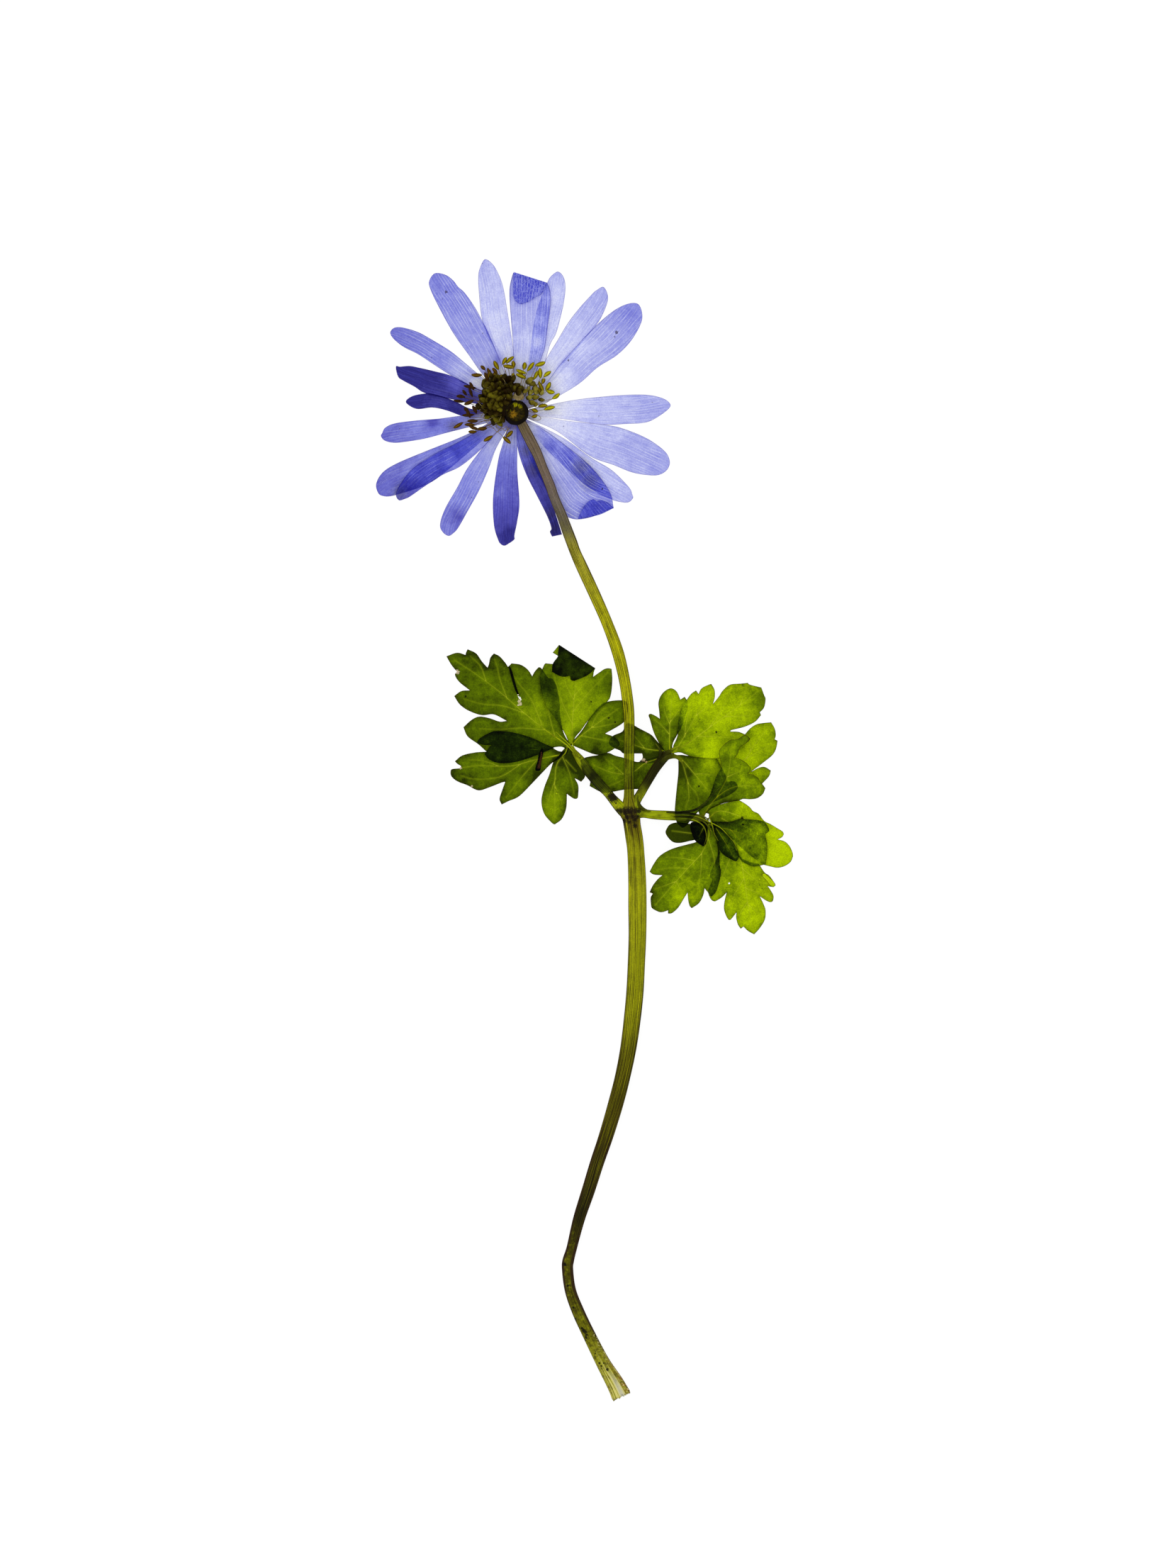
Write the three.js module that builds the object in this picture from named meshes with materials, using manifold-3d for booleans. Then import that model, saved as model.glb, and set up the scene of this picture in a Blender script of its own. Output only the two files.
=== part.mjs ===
// A cut anemone, pressed flat and lying on its back: a flower of 19 tepals, a ribbed scape and three cut leaves.
// Units are millimetres and Z is up. The plan is measured on the sheet that the flower lies on: sheet x runs to
// the right and sheet y runs down from the sheet's top left corner, so the cut end of the stem has the largest y.
import * as THREE from "three";
import Module from "manifold-3d";
import { mergeVertices } from "three/addons/utils/BufferGeometryUtils.js";

const wasm = await Module();
wasm.setup();

// The point of the sheet that becomes the origin, the middle of the flower's outer box
const CENTRE_X = 82.47;
const CENTRE_Y = 117.21;

// Thicknesses and gaps
const BLADE = 0.6;
const UPPER_TEPAL = 0.5;
const FOLD_LIFT = 0.35;
const GAP = 0.3;
const CHORD = 1.3;

// The stem is a flattened tube with ribs
const STEM_SIDES = 12;
const STEM_FLATNESS = 0.62;
const RIB_DEPTH = 0.1;
const UNDERSIDE_CUT = 0.84;

// The flower's centre, where the round receptacle button ends the stem. The button's profile is given in shares
// of its radius and height, from under its middle round its rim to the dish on top.
const BUTTON = { x: 72.84, y: 58.33, radius: 1.78, bottom: 1.5, height: 1.3, sides: 16 };
const BUTTON_PROFILE = [[0, 0], [0.85, 0], [1, 0.3], [1, 0.65], [0.8, 1], [0.62, 0.92], [0.45, 0.72], [0, 0.62]];
const TEPAL_DISC = { radius: 3.4, sides: 24 };
const FLOWER_RISE = 0.9;
const FLOWER_RISE_FROM = 7;
const FLOWER_RADIUS = 21;
const STEM_BEARING = -1.12;
const STEM_ROOM = { length: 16, width: 2.2, height: 12 };

// Heights of what lies on the tepals
const STAMEN_HEIGHT = 1.7;
const STAMEN_RING = { inner: 2.08, outer: 3.3, thick: 0.5, sides: 16 };
const ANTHER_WIDTH = 0.55;
const ANTHER_SIDES = 5;
const FILAMENT_RADIUS = 0.18;
const FILAMENT_SIDES = 3;
const FILAMENT_OVERLAP = 0.15;
const HEAD_BOTTOM = 2.3;

// The leaves lean, so that each clears what it lies on: rise for each millimetre across the sheet
const LEFT_LEAF_SLOPE = 0.045;
const LEFT_LEAF_FOOT = 63.0;
const LOWER_LEAF_SLOPE = 0.074;
const LOWER_LEAF_FOOT = 131.8;
const LEAF_TIP_LIFT = 0.3;
const LEAF_REACH = 18;
const STALK_SIDES = 8;

// Tepals in their order round the flower, from the upper left clockwise. Each has its two edges from root to
// tip. An upper tepal lies on its lower neighbours.
const TEPALS = [
  { upper: true, left: "71.0,56.0 68.2,53.0 66.2,50.2 64.0,47.1 62.0,43.5 60.8,41.0 60.6,39.8 61.4,38.8",
    right: "72.4,56.0 70.6,51.0 69.0,47.2 67.2,43.7 65.6,41.4 64.4,40.4 63.6,39.4 62.5,38.8 61.4,38.8" },
  { upper: false, left: "72.0,55.5 70.4,50.5 69.0,47.8 68.0,45.0 67.6,41.5 67.5,39.2 67.7,37.9 68.4,36.7",
    right: "73.2,55.0 72.4,49.0 71.7,44.5 71.0,40.5 70.3,38.4 69.4,37.2 68.4,36.7" },
  { upper: true, left: "72.6,55.0 72.4,49.0 72.1,45.0 71.9,41.8 72.1,40.2 72.5,38.5",
    right: "75.0,54.5 76.4,50.5 76.9,49.0 77.3,46.0 77.7,43.0 77.6,41.0 77.2,40.0" },
  { upper: false, left: "74.2,54.5 75.0,48.0 75.7,44.0 76.4,42.0 77.2,40.0 77.7,39.1 78.7,38.4",
    right: "76.0,54.5 77.5,49.0 78.6,46.5 79.3,44.0 79.7,42.0 79.8,40.4 79.5,39.1 78.7,38.4" },
  { upper: false, left: "75.2,54.8 77.0,50.8 78.5,48.3 80.0,45.8 81.5,43.8 83.5,41.6 84.2,41.0 85.2,40.6",
    right: "76.5,55.5 78.3,52.6 80.4,50.3 82.2,48.3 84.0,46.1 85.0,44.5 85.8,42.0 85.2,40.6" },
  { upper: true, left: "75.4,55.8 77.5,53.5 79.0,51.5 81.5,48.7 84.0,46.1 86.5,44.0 88.5,43.0 90.0,43.0",
    right: "76.0,57.2 78.5,56.1 81.8,54.1 84.3,51.9 87.0,50.2 89.0,48.2 90.4,45.8 90.6,44.2 90.0,43.0" },
  { upper: false, left: "75.5,57.6 78.5,56.9 82.0,56.3 87.0,55.8 91.0,55.7 93.5,56.2 94.7,57.2",
    right: "75.5,58.6 80.0,59.2 85.0,59.9 88.5,59.8 90.8,59.6 92.5,59.0 94.0,58.0 94.7,57.2" },
  { upper: true, left: "75.5,58.6 80.0,59.4 85.7,60.0 88.5,60.7 91.5,62.0 93.8,63.7 94.5,65.1 94.2,66.3",
    right: "75.2,59.4 77.5,60.3 79.5,61.5 83.3,64.4 86.5,65.6 89.3,66.7 92.0,67.1 93.3,66.9 94.2,66.3" },
  { upper: false, left: "74.8,59.4 79.5,61.8 83.3,64.5 85.7,65.9 87.0,66.9 88.8,68.8 89.3,70.3",
    right: "74.2,60.0 77.0,63.3 80.0,66.2 82.0,68.0 84.5,69.7 86.6,70.6 88.5,70.9 89.3,70.3" },
  { upper: true, left: "74.3,59.6 76.5,60.5 80.0,63.0 83.0,65.5 85.0,67.8 86.2,69.8 86.6,71.7",
    right: "73.6,60.6 74.8,62.8 76.5,66.3 77.8,69.6 79.0,72.0 79.9,72.9 81.5,73.3 84.0,72.8 86.6,71.7" },
  { upper: false, left: "73.9,60.3 74.9,62.6 76.0,65.6 77.2,69.0 78.3,72.2 79.0,74.4 79.2,75.3",
    right: "72.7,60.2 73.1,63.5 74.2,66.8 75.8,70.0 77.2,72.8 77.8,74.4 77.7,75.7" },
  { upper: true, left: "72.9,60.5 73.0,63.5 73.0,66.5 73.3,71.0 73.0,73.5 72.6,75.6 71.8,76.7 71.2,77.0",
    right: "71.6,60.5 70.9,62.8 70.3,65.0 69.5,70.0 69.7,74.0 70.2,76.0 71.2,77.0" },
  { upper: false, left: "71.6,60.5 70.0,63.3 69.0,66.0 67.6,69.2 66.0,72.1 64.7,74.4 64.0,75.3 63.1,75.6",
    right: "70.8,60.0 68.4,62.8 66.0,66.0 64.5,68.8 62.8,71.8 62.1,74.0 62.5,75.1 63.1,75.6" },
  { upper: true, left: "70.6,60.6 67.8,63.5 65.0,65.8 62.5,67.0 60.0,68.6 58.0,70.0 57.1,70.4 56.3,70.5",
    right: "69.5,59.5 67.5,60.8 64.5,62.5 61.5,64.0 58.3,66.1 56.6,68.2 55.9,69.7 56.3,70.5" },
  { upper: false, left: "70.0,60.5 66.0,64.0 62.5,66.9 60.0,68.5 57.5,69.4 55.2,70.0 54.1,70.0 53.4,69.4",
    right: "69.8,59.2 67.5,60.5 64.5,61.9 60.0,63.7 56.0,65.4 54.0,66.7 53.1,68.2 53.4,69.4" },
  { upper: true, left: "70.0,59.4 67.0,60.1 63.0,61.1 60.0,61.9 57.0,62.4 55.5,62.5 54.3,62.2 53.8,61.5",
    right: "70.0,58.2 65.0,58.7 62.0,59.1 58.5,59.4 55.7,59.8 54.4,60.4 53.8,61.5" },
  { upper: false, left: "70.2,59.0 66.5,58.9 65.2,58.7 63.0,57.9 61.0,57.5 58.8,57.7 57.3,56.9",
    right: "70.0,58.0 66.5,57.7 64.0,56.5 61.0,55.6 59.5,55.5 58.0,56.0 57.3,56.9" },
  { upper: true, left: "70.0,57.4 66.5,56.9 63.0,56.2 60.0,55.5 58.5,54.6 57.0,53.8 56.2,53.0 55.9,51.8",
    right: "70.2,56.0 67.0,54.7 63.8,53.1 61.2,52.4 59.0,51.9 57.5,51.7 55.9,51.8" },
  { upper: false, left: "70.2,56.4 67.2,55.0 65.0,53.8 63.0,52.6 61.0,51.3 59.0,50.0 57.0,49.0 55.6,47.9 55.1,47.0",
    right: "70.6,55.4 67.5,52.8 65.5,51.1 63.5,49.5 60.7,47.8 59.0,46.9 57.0,46.3 55.8,46.3 55.1,47.0" },
];

// Parts that are folded back over their own tepal. A star marks a sharp corner of an outline.
const TEPAL_FOLDS = [
  { upper: true, path: "72.5,38.5* 77.2,40.0* 76.5,41.5 75.5,42.1 74.5,42.7 73.5,43.0 72.8,42.6 72.4,41.8*" },
  { upper: true, path: `81.5,73.3* 82.0,72.2 82.4,71.5 83.0,70.8 83.7,70.45* 84.3,70.8 84.6,70.6 85.8,71.0
    86.6,71.7* 84.0,72.8` },
  { upper: false, path: "73.7,60.8* 74.7,62.2 75.5,64.2 76.4,66.6 77.1,68.6* 76.0,67.2 75.1,65.4 74.3,63.2*" },
];

// Leaf segments, each with its height in its leaf's stack
const LEFT_LEAF = [
  { level: 0, path: `80.6,105.2* 79.5,103.3 79.0,100.0 78.6,97.0 77.8,95.6* 76.4,94.3 76.0,94.15* 75.1,95.4*
    74.5,94.5 73.5,93.8 72.2,93.6* 71.7,94.1* 70.5,92.6 69.7,92.2* 69.1,93.0 68.8,94.2* 67.2,92.2 66.0,91.6*
    65.7,92.4* 64.5,92.1 63.0,92.6* 63.7,93.8 64.5,94.8* 64.25,95.2 64.8,96.2 66.3,97.4* 65.1,97.5 64.1,98.2*
    64.9,99.4 66.2,100.3 68.0,100.9 69.7,100.8 71.5,101.7* 69.0,101.3 67.6,101.1 66.5,101.6 65.4,102.6*
    66.0,103.9 67.5,105.0 68.6,106.0* 74.0,105.8 77.8,105.5* 79.2,105.35 80.1,105.8*` },
  { level: 0.5, path: `67.3,104.7* 67.8,104.1 69.3,103.3 70.2,103.15 72.2,103.3 74.8,104.0 77.0,105.0 78.2,105.5*
    76.8,106.1 74.5,107.0 72.2,107.6 70.2,107.6 69.0,107.1 68.4,106.4* 69.0,105.5 69.5,105.05* 68.5,105.1` },
  { level: 0.35, path: `80.3,104.9* 79.7,103.5 78.5,101.5 77.2,99.8 76.5,97.8 76.2,95.5 76.8,93.6* 78.0,93.7
    78.3,93.2 78.8,92.6* 78.0,92.1* 78.9,91.0* 84.0,94.3* 83.8,94.8 83.7,95.5* 84.7,94.8 85.9,94.3 86.4,94.6*
    86.4,96.0 86.2,98.0 85.7,99.0 84.0,100.5 82.9,101.8 81.9,103.2* 81.2,104.0 80.7,105.4*` },
  { level: 0.7, path: `78.9,91.0* 84.0,94.3* 83.3,95.0 82.5,95.5 81.0,96.1* 80.5,95.9* 80.5,95.3* 79.8,95.5
    79.0,95.4 77.9,94.8* 78.0,93.7 78.7,92.7*` },
  { level: 0.15, path: `80.4,105.0* 82.0,103.2 83.6,100.8 85.2,99.2 87.5,98.8 88.5,99.2 88.5,100.8 87.9,102.0
    85.4,103.5* 86.7,104.0 87.4,104.8 87.2,105.3 85.2,106.4 83.8,106.4 81.8,105.6*` },
  { level: 0.15, path: `80.4,105.4* 79.5,105.9 68.6,106.0 66.8,106.2 65.2,106.6 64.2,107.4* 65.1,108.1* 63.8,108.5*
    63.7,109.5 64.5,110.2 66.0,110.8 67.5,111.5 69.0,111.1 71.3,110.3* 70.9,111.4 70.5,112.7 70.8,113.5*
    71.8,113.0 73.3,112.3 75.3,110.3 77.5,108.0 78.5,107.0 80.4,106.2*` },
  { level: 0.3, path: `79.8,105.4* 78.5,107.3 78.0,107.7 77.5,109.3 76.8,111.1 76.4,113.0 76.8,114.8 77.9,116.1
    78.3,116.3* 79.3,115.5 79.9,114.0 80.0,112.0* 80.7,112.5 81.5,112.6 81.6,110.8 81.1,109.8* 82.0,110.3*
    82.5,109.5 82.0,108.8 81.2,108.0 80.7,107.1 80.9,105.8*` },
];
const LEFT_STALK = `87.1,113.4,1.5,0.8 86.0,112.2,1.6,1.15 84.6,110.6,1.6,1.15 83.2,108.9,1.6,1.15
  81.8,107.2,1.6,1.0 80.6,105.6,1.4,0.82 80.1,104.9,0.9,0.82`;

const UPPER_LEAF = [
  { level: 0, path: `93.5,105.7* 92.5,104.3 91.8,103.6 90.3,102.8 89.0,102.1 88.3,102.2 87.8,103.2 86.5,103.8
    85.9,104.7 86.4,105.4 87.5,105.9 88.0,106.3 89.5,106.3 90.6,106.3 90.7,106.8 90.2,107.4* 91.5,107.8
    93.6,107.3*` },
  { level: 0.12, path: `93.8,106.5* 90.5,107.4 89.5,107.4 88.0,106.9 86.8,106.6 85.8,106.2 84.5,106.5 82.8,106.8
    81.9,107.2* 82.2,108.8 83.3,110.3* 83.2,110.9* 85.0,111.8 86.5,111.7 88.2,111.4 90.5,111.3* 92.0,109.6
    93.6,107.7*` },
  { level: 0.24, path: `94.0,106.4* 92.9,104.7 92.2,103.2 91.7,101.5 91.5,100.8 92.5,101.0 93.1,101.4* 93.0,100.3
    92.9,99.2 93.15,98.3 93.8,97.5 94.7,97.1 95.5,97.6 96.0,98.7* 96.6,98.3* 97.0,98.9* 97.0,100.0 96.6,101.2
    96.2,102.5 95.6,103.6 95.0,104.7 94.85,105.3* 95.0,106.4*` },
  { level: 0.42, path: `94.8,106.4* 95.05,105.15* 95.5,104.2 95.8,103.4 96.1,102.0 96.5,100.5 96.7,99.7 97.1,98.8
    97.5,97.9 98.2,97.4* 98.55,97.9* 99.0,97.1 100.3,96.5* 100.8,97.3 100.85,98.3 100.6,99.3* 101.4,98.3
    102.0,97.4 103.0,96.6 104.5,96.45 105.5,96.35* 107.4,97.0* 107.8,98.1 108.0,98.6 107.8,99.8 107.2,100.5*
    107.35,100.9* 106.5,101.85 105.0,102.55 103.05,103.15* 104.2,103.25 105.1,103.6* 105.8,104.2 105.3,104.8
    103.5,105.8 101.4,107.0 98.0,106.9 95.7,106.8*` },
  { level: 0, path: `100.8,106.8* 101.8,105.6 103.0,103.4* 105.1,103.6* 105.8,102.8 106.7,102.2 107.7,102.0
    108.8,101.9* 109.3,102.8 109.45,103.7 109.3,104.3* 109.7,104.5* 109.5,105.6 109.0,106.5 107.8,107.5
    106.0,108.85* 107.1,108.3 107.9,108.2 108.75,108.7* 108.5,109.5 107.5,110.6* 105.5,110.2 104.0,109.8
    102.2,109.0 101.2,108.0*` },
  { level: 0.14, path: `94.7,106.0* 98.5,106.6 100.8,106.8 101.9,108.5 102.5,110.3* 103.5,110.2 104.0,110.8
    104.0,111.3 102.8,112.2 101.0,113.0 99.0,114.1 97.8,115.3 96.9,116.4 96.3,116.8* 95.7,116.3 95.3,115.5
    95.2,114.5 95.3,113.0 95.5,111.0 95.7,109.0 95.7,107.2*` },
];
const UPPER_STALK = `90.35,112.15,1.4,0.5 91.2,110.9,1.45,0.2 92.2,109.3,1.35,0.05 93.0,108.0,1.3,0.05
  93.9,106.9,1.3,0.05 94.7,106.1,0.9,0.05`;

const LOWER_LEAF = [
  { level: 0, path: `98.5,114.4* 99.5,113.2 100.2,112.0 101.0,109.7 101.8,108.3 101.6,107.2 101.4,106.0 102.1,105.1
    103.0,104.4 104.0,104.3 105.0,103.7* 105.8,104.2* 105.3,104.8 104.4,105.4 104.0,106.4 103.6,106.9*
    104.6,107.2 105.4,107.8 105.9,108.5 105.5,109.2* 106.2,109.3 106.9,109.7 107.95,111.2* 107.6,112.0
    106.8,112.6 105.8,112.75 104.3,112.9 101.5,113.5 99.8,114.5 99.0,116.2*` },
  { level: 0.14, path: `99.3,115.3* 100.3,114.0 101.5,113.5 103.0,113.1 104.3,112.9* 105.0,113.3 106.2,114.4
    107.0,114.8 107.8,115.8 109.6,116.8 110.4,117.3 110.55,117.7 110.3,118.1 109.7,118.4* 110.7,118.7
    111.4,119.4 111.85,120.8 111.5,121.6 110.6,122.2 109.6,122.4 108.6,122.2 107.6,121.95* 105.0,119.5
    102.3,117.3 100.2,116.7*` },
  { level: 0.5, path: `99.6,115.9* 101.5,115.9 103.0,115.9 104.6,115.4* 105.8,115.6 107.9,116.0* 108.4,116.8
    108.5,117.2* 107.9,117.7* 108.2,119.0 108.2,120.5 108.0,121.9* 107.2,122.1 106.2,122.2 105.2,121.8
    104.5,121.3 103.9,119.9 103.0,118.3 101.8,117.1 100.2,116.8*` },
  { level: 0.28, path: `99.9,116.3* 100.9,118.0 101.3,120.0 101.1,121.0 100.3,122.8 100.1,123.9* 100.6,123.85*
    99.9,125.6 100.1,126.5 100.9,127.15* 101.8,126.6 102.5,125.9* 102.2,127.2 102.15,128.3 102.8,129.75*
    103.3,129.4 103.9,128.7* 103.85,129.4 104.1,130.4 104.5,131.0* 104.9,130.7* 106.4,131.8* 107.2,130.9
    107.9,129.7 108.0,128.4 107.7,127.5 107.2,126.45* 108.8,127.25* 109.1,126.3 108.6,125.4 108.3,125.0*
    109.35,124.9* 109.1,124.3 108.5,123.5 107.9,123.1 107.4,122.4 107.1,121.9 105.5,121.5 104.2,120.6
    103.0,118.5 101.0,116.1*` },
  { level: 0.42, path: `99.6,116.0* 99.3,117.6 98.3,118.7 97.0,119.1 95.5,119.5 94.2,120.0 93.0,120.8 92.2,121.9
    91.65,122.95* 92.2,123.35 93.45,123.45* 92.8,124.0 92.1,124.9 91.65,125.85* 92.1,126.05* 91.8,126.6
    91.85,127.6 92.0,128.1 92.9,128.6 94.25,128.4* 94.25,128.85* 94.8,128.8 95.7,128.0 96.5,126.7 97.0,125.9*
    97.1,127.0 97.6,128.1* 98.6,127.4 99.2,126.3 99.4,125.3* 100.3,126.5* 101.0,125.8 101.5,124.2 101.7,123.0
    101.5,121.8 101.5,120.5 101.2,118.5 100.7,116.2*` },
  { level: 0, path: `99.6,115.6* 97.5,116.1 95.5,116.0 94.5,116.3 94.0,117.0 93.9,117.5 94.3,118.2 95.0,118.8
    96.0,118.9 97.2,118.65 98.1,118.45 99.2,117.9 99.9,117.0*` },
  { level: 0.56, path: `99.8,115.8* 97.5,116.0 97.4,116.8 97.6,117.6 98.0,118.5 98.5,118.95 99.2,119.4* 99.6,119.0
    99.8,118.2 99.9,117.0*` },
  { level: 0.7, path: `100.2,116.2* 100.9,117.3 101.2,118.3 101.4,119.4 101.7,120.2 102.4,120.8 103.3,121.3
    103.8,121.5 104.1,121.2 104.2,120.7 103.9,119.6 103.3,118.5 102.5,117.6 101.7,116.9*` },
];
const LOWER_STALK = `90.7,114.75,1.2,0.5 92.0,114.9,1.1,0.8 94.0,115.0,1.1,1.18 96.0,115.1,1.1,1.22
  98.0,115.3,1.1,1.22 99.6,115.9,1.0,1.22 100.4,116.5,0.8,1.22`;

// The stem's stations, from the button to the cut end: sheet x, sheet y, width, height of its underside
const STEM = `73.0,58.8,1.5,1.55 74.0,60.6,1.5,1.55 74.9,62.3,1.5,1.5 75.8,64.0,1.4,1.5 76.7,66.2,1.35,1.5
  77.6,68.6,1.35,1.5 78.4,71.0,1.4,1.5 79.3,73.0,1.5,1.5 80.3,75.5,1.6,1.4 81.2,78.0,1.6,1.15 82.1,80.0,1.6,0.8
  83.95,84.0,1.6,0.3 85.7,88.0,1.6,0.1 87.15,92.0,1.7,0.4 88.1,96.0,1.62,1.4 88.6,99.0,1.6,2.2 88.75,102.0,1.52,2.2
  88.75,105.0,1.5,1.7 88.75,108.0,1.5,1.2 88.7,111.0,1.42,1.0 88.8,112.6,1.5,0.6 89.0,113.7,2.4,0.1
  89.0,114.6,2.9,0 89.0,115.6,2.5,0 89.3,117.0,2.45,0 89.6,119.0,2.5,0 89.85,123.0,2.55,0 89.95,128.0,2.6,0
  89.95,132.0,2.5,0 89.8,136.0,2.45,0 89.55,140.0,2.45,0 89.2,144.0,2.4,0 88.65,148.0,2.3,0 87.85,152.0,2.2,0
  86.85,156.0,2.2,0 85.6,160.0,2.1,0 84.25,164.0,2.0,0 83.0,168.0,1.9,0 81.75,172.0,1.7,0 80.7,176.0,1.5,0
  80.2,178.0,1.6,0 80.1,179.5,1.6,0 80.5,182.0,1.6,0 81.6,185.0,1.7,0 83.0,188.0,1.85,0 85.0,192.0,2.1,0
  86.6,195.0,2.5,0 87.7,197.1,2.8,0`;

// Anthers, each from its base to its tip
const ANTHERS = `70.9,51.6>71.5,50.5 71.4,51.4>72.5,50.4 70.4,52.3>69.7,51.0 72.5,52.0>72.4,51.2 71.0,51.7>72.6,52.0
  73.9,52.3>74.1,51.2 74.4,52.5>75.4,51.2 75.5,51.7>77.0,51.2 74.3,52.8>72.8,52.2 74.3,53.5>72.8,52.9
  75.3,53.7>75.9,52.4 76.3,53.5>76.2,52.0 76.7,53.3>77.8,52.5 75.1,53.8>75.9,55.0 76.0,53.8>76.7,55.3
  76.5,54.3>76.9,53.5 77.0,55.2>77.7,54.0 77.1,55.2>78.3,55.5 77.9,56.4>79.0,55.6 76.7,57.9>78.3,57.5
  75.9,57.5>77.3,57.3 75.0,57.8>75.9,58.2 75.0,58.9>75.8,58.7 75.8,54.7>76.4,55.9 68.1,53.0>66.5,53.0
  68.5,52.3>67.9,51.7 69.3,52.6>68.9,51.9 69.7,54.0>68.9,52.8 69.0,54.2>68.4,53.2 70.2,53.6>69.6,52.4
  67.3,54.9>65.4,54.5 66.7,56.1>66.2,54.8 65.9,55.9>65.3,55.1 65.7,56.1>64.4,56.0 65.5,56.8>64.0,56.6
  66.9,56.6>65.5,57.2 67.3,58.5>66.7,57.3 66.4,59.1>65.8,57.8 67.0,58.6>65.2,58.7 65.4,59.7>64.0,60.5
  67.5,59.5>66.0,59.5 67.1,60.0>65.6,60.0 67.6,60.7>66.2,60.2 68.8,60.5>67.4,60.6 67.3,61.0>66.1,61.0
  69.6,61.5>68.3,62.3 71.4,61.8>72.4,60.9 71.0,61.7>72.1,62.7`;

// The carpel head, a low dome beside the button with a tail of carpels over the button's far side. Its core's
// profile is given in shares of its radius and height.
const HEAD = { x: 70.3, y: 56.6, across: 2.45, along: 3.3, high: 1.5, core: 0.9, sides: 14 };
const HEAD_PROFILE = [[0, 0], [1, 0], [0.94, 0.35], [0.74, 0.7], [0.4, 0.93], [0, 1]];
const CARPEL = { count: 26, radius: 0.5, stretch: 1.25, doming: 0.75 };
const HEAD_PAD = `70.9,60.1* 69.2,60.0 67.8,58.8 67.4,56.6 68.2,54.4 70.0,53.2 72.0,53.5 73.3,54.7 74.6,54.0
  75.9,53.9 76.8,55.2 76.6,57.0 75.2,58.2*`;
const HEAD_PAD_THICK = 0.6;
const TAIL_CARPELS = "72.9,54.4 74.0,54.9 75.0,54.3 76.0,54.6 76.2,55.8 75.2,55.7 74.2,56.0 75.8,56.9";
const GOLDEN_ANGLE = Math.PI * (3 - Math.sqrt(5));

// Turns a place on the sheet into the plan of the model
function plan(x, y) {
  return new THREE.Vector2(x - CENTRE_X, CENTRE_Y - y);
}

// Reads words of numbers parted by commas, such as "72.5,38.5*", where the star marks a sharp corner
function readPath(text) {
  return text.trim().split(/\s+/).map((word) => {
    const numbers = word.replace("*", "").split(",").map(Number);
    return { at: plan(numbers[0], numbers[1]), sharp: word.endsWith("*"), width: numbers[2], lift: numbers[3] };
  });
}

// Points along a smooth curve through the given ones, without its last point
function smoothRun(points) {
  if (points.length === 2) {
    return [points[0]];
  }
  const through = points.map((p) => new THREE.Vector3(p.x, p.y, 0));
  const curve = new THREE.CatmullRomCurve3(through, false, "centripetal");
  const steps = Math.max(2, Math.round(curve.getLength() / CHORD));
  return curve.getSpacedPoints(steps).slice(0, -1).map((v) => new THREE.Vector2(v.x, v.y));
}

// A closed outline that is smooth between its sharp corners
function closedOutline(text) {
  const path = readPath(text);
  const first = path.findIndex((p) => p.sharp);
  const turned = [...path.slice(first), ...path.slice(0, first + 1)];
  const outline = [];
  let run = [turned[0].at];
  for (const { at, sharp } of turned.slice(1)) {
    run.push(at);
    if (sharp) {
      outline.push(...smoothRun(run));
      run = [at];
    }
  }
  return outline;
}

// A tepal's outline: up its left edge and back down its right edge
function tepalOutline(tepal) {
  const up = readPath(tepal.left).map((p) => p.at);
  const down = readPath(tepal.right).map((p) => p.at).reverse();
  const edges = [...smoothRun(up), up.at(-1), ...smoothRun(down), down.at(-1)];
  return edges.filter((p, i) => p.distanceTo(edges[(i + 1) % edges.length]) > 1e-6);
}

// Turns a closed geometry into a solid: merges its corners, drops flat triangles and faces them outward
function solid(geometry) {
  const bare = geometry.clone();
  bare.deleteAttribute("normal");
  bare.deleteAttribute("uv");
  const merged = mergeVertices(bare, 1e-5);
  const corners = merged.attributes.position.array;
  const triangles = [];
  let volume = 0;
  for (let i = 0; i < merged.index.count; i += 3) {
    const [a, b, c] = [0, 1, 2].map((k) => merged.index.getX(i + k));
    if (a !== b && b !== c && c !== a) {
      triangles.push([a, b, c]);
      const [p, q, r] = [a, b, c].map((k) => new THREE.Vector3().fromArray(corners, 3 * k));
      volume += p.dot(q.cross(r));
    }
  }
  const outward = volume > 0 ? triangles : triangles.map(([a, b, c]) => [a, c, b]);
  const mesh = new wasm.Mesh({
    numProp: 3,
    vertProperties: Float32Array.from(corners),
    triVerts: Uint32Array.from(outward.flat()),
  });
  return new wasm.Manifold(mesh);
}

function join(solids) {
  return solids.reduce((all, next) => all.add(next));
}

// A sheet of even thickness in an outline, its underside at the height that the function gives
function blade(outline, underside, thickness = BLADE) {
  const geometry = new THREE.ExtrudeGeometry(new THREE.Shape(outline), { depth: thickness, bevelEnabled: false });
  const corners = geometry.attributes.position;
  for (let i = 0; i < corners.count; i += 1) {
    corners.setZ(i, corners.getZ(i) + underside(corners.getX(i), corners.getY(i)));
  }
  return solid(geometry);
}

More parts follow.
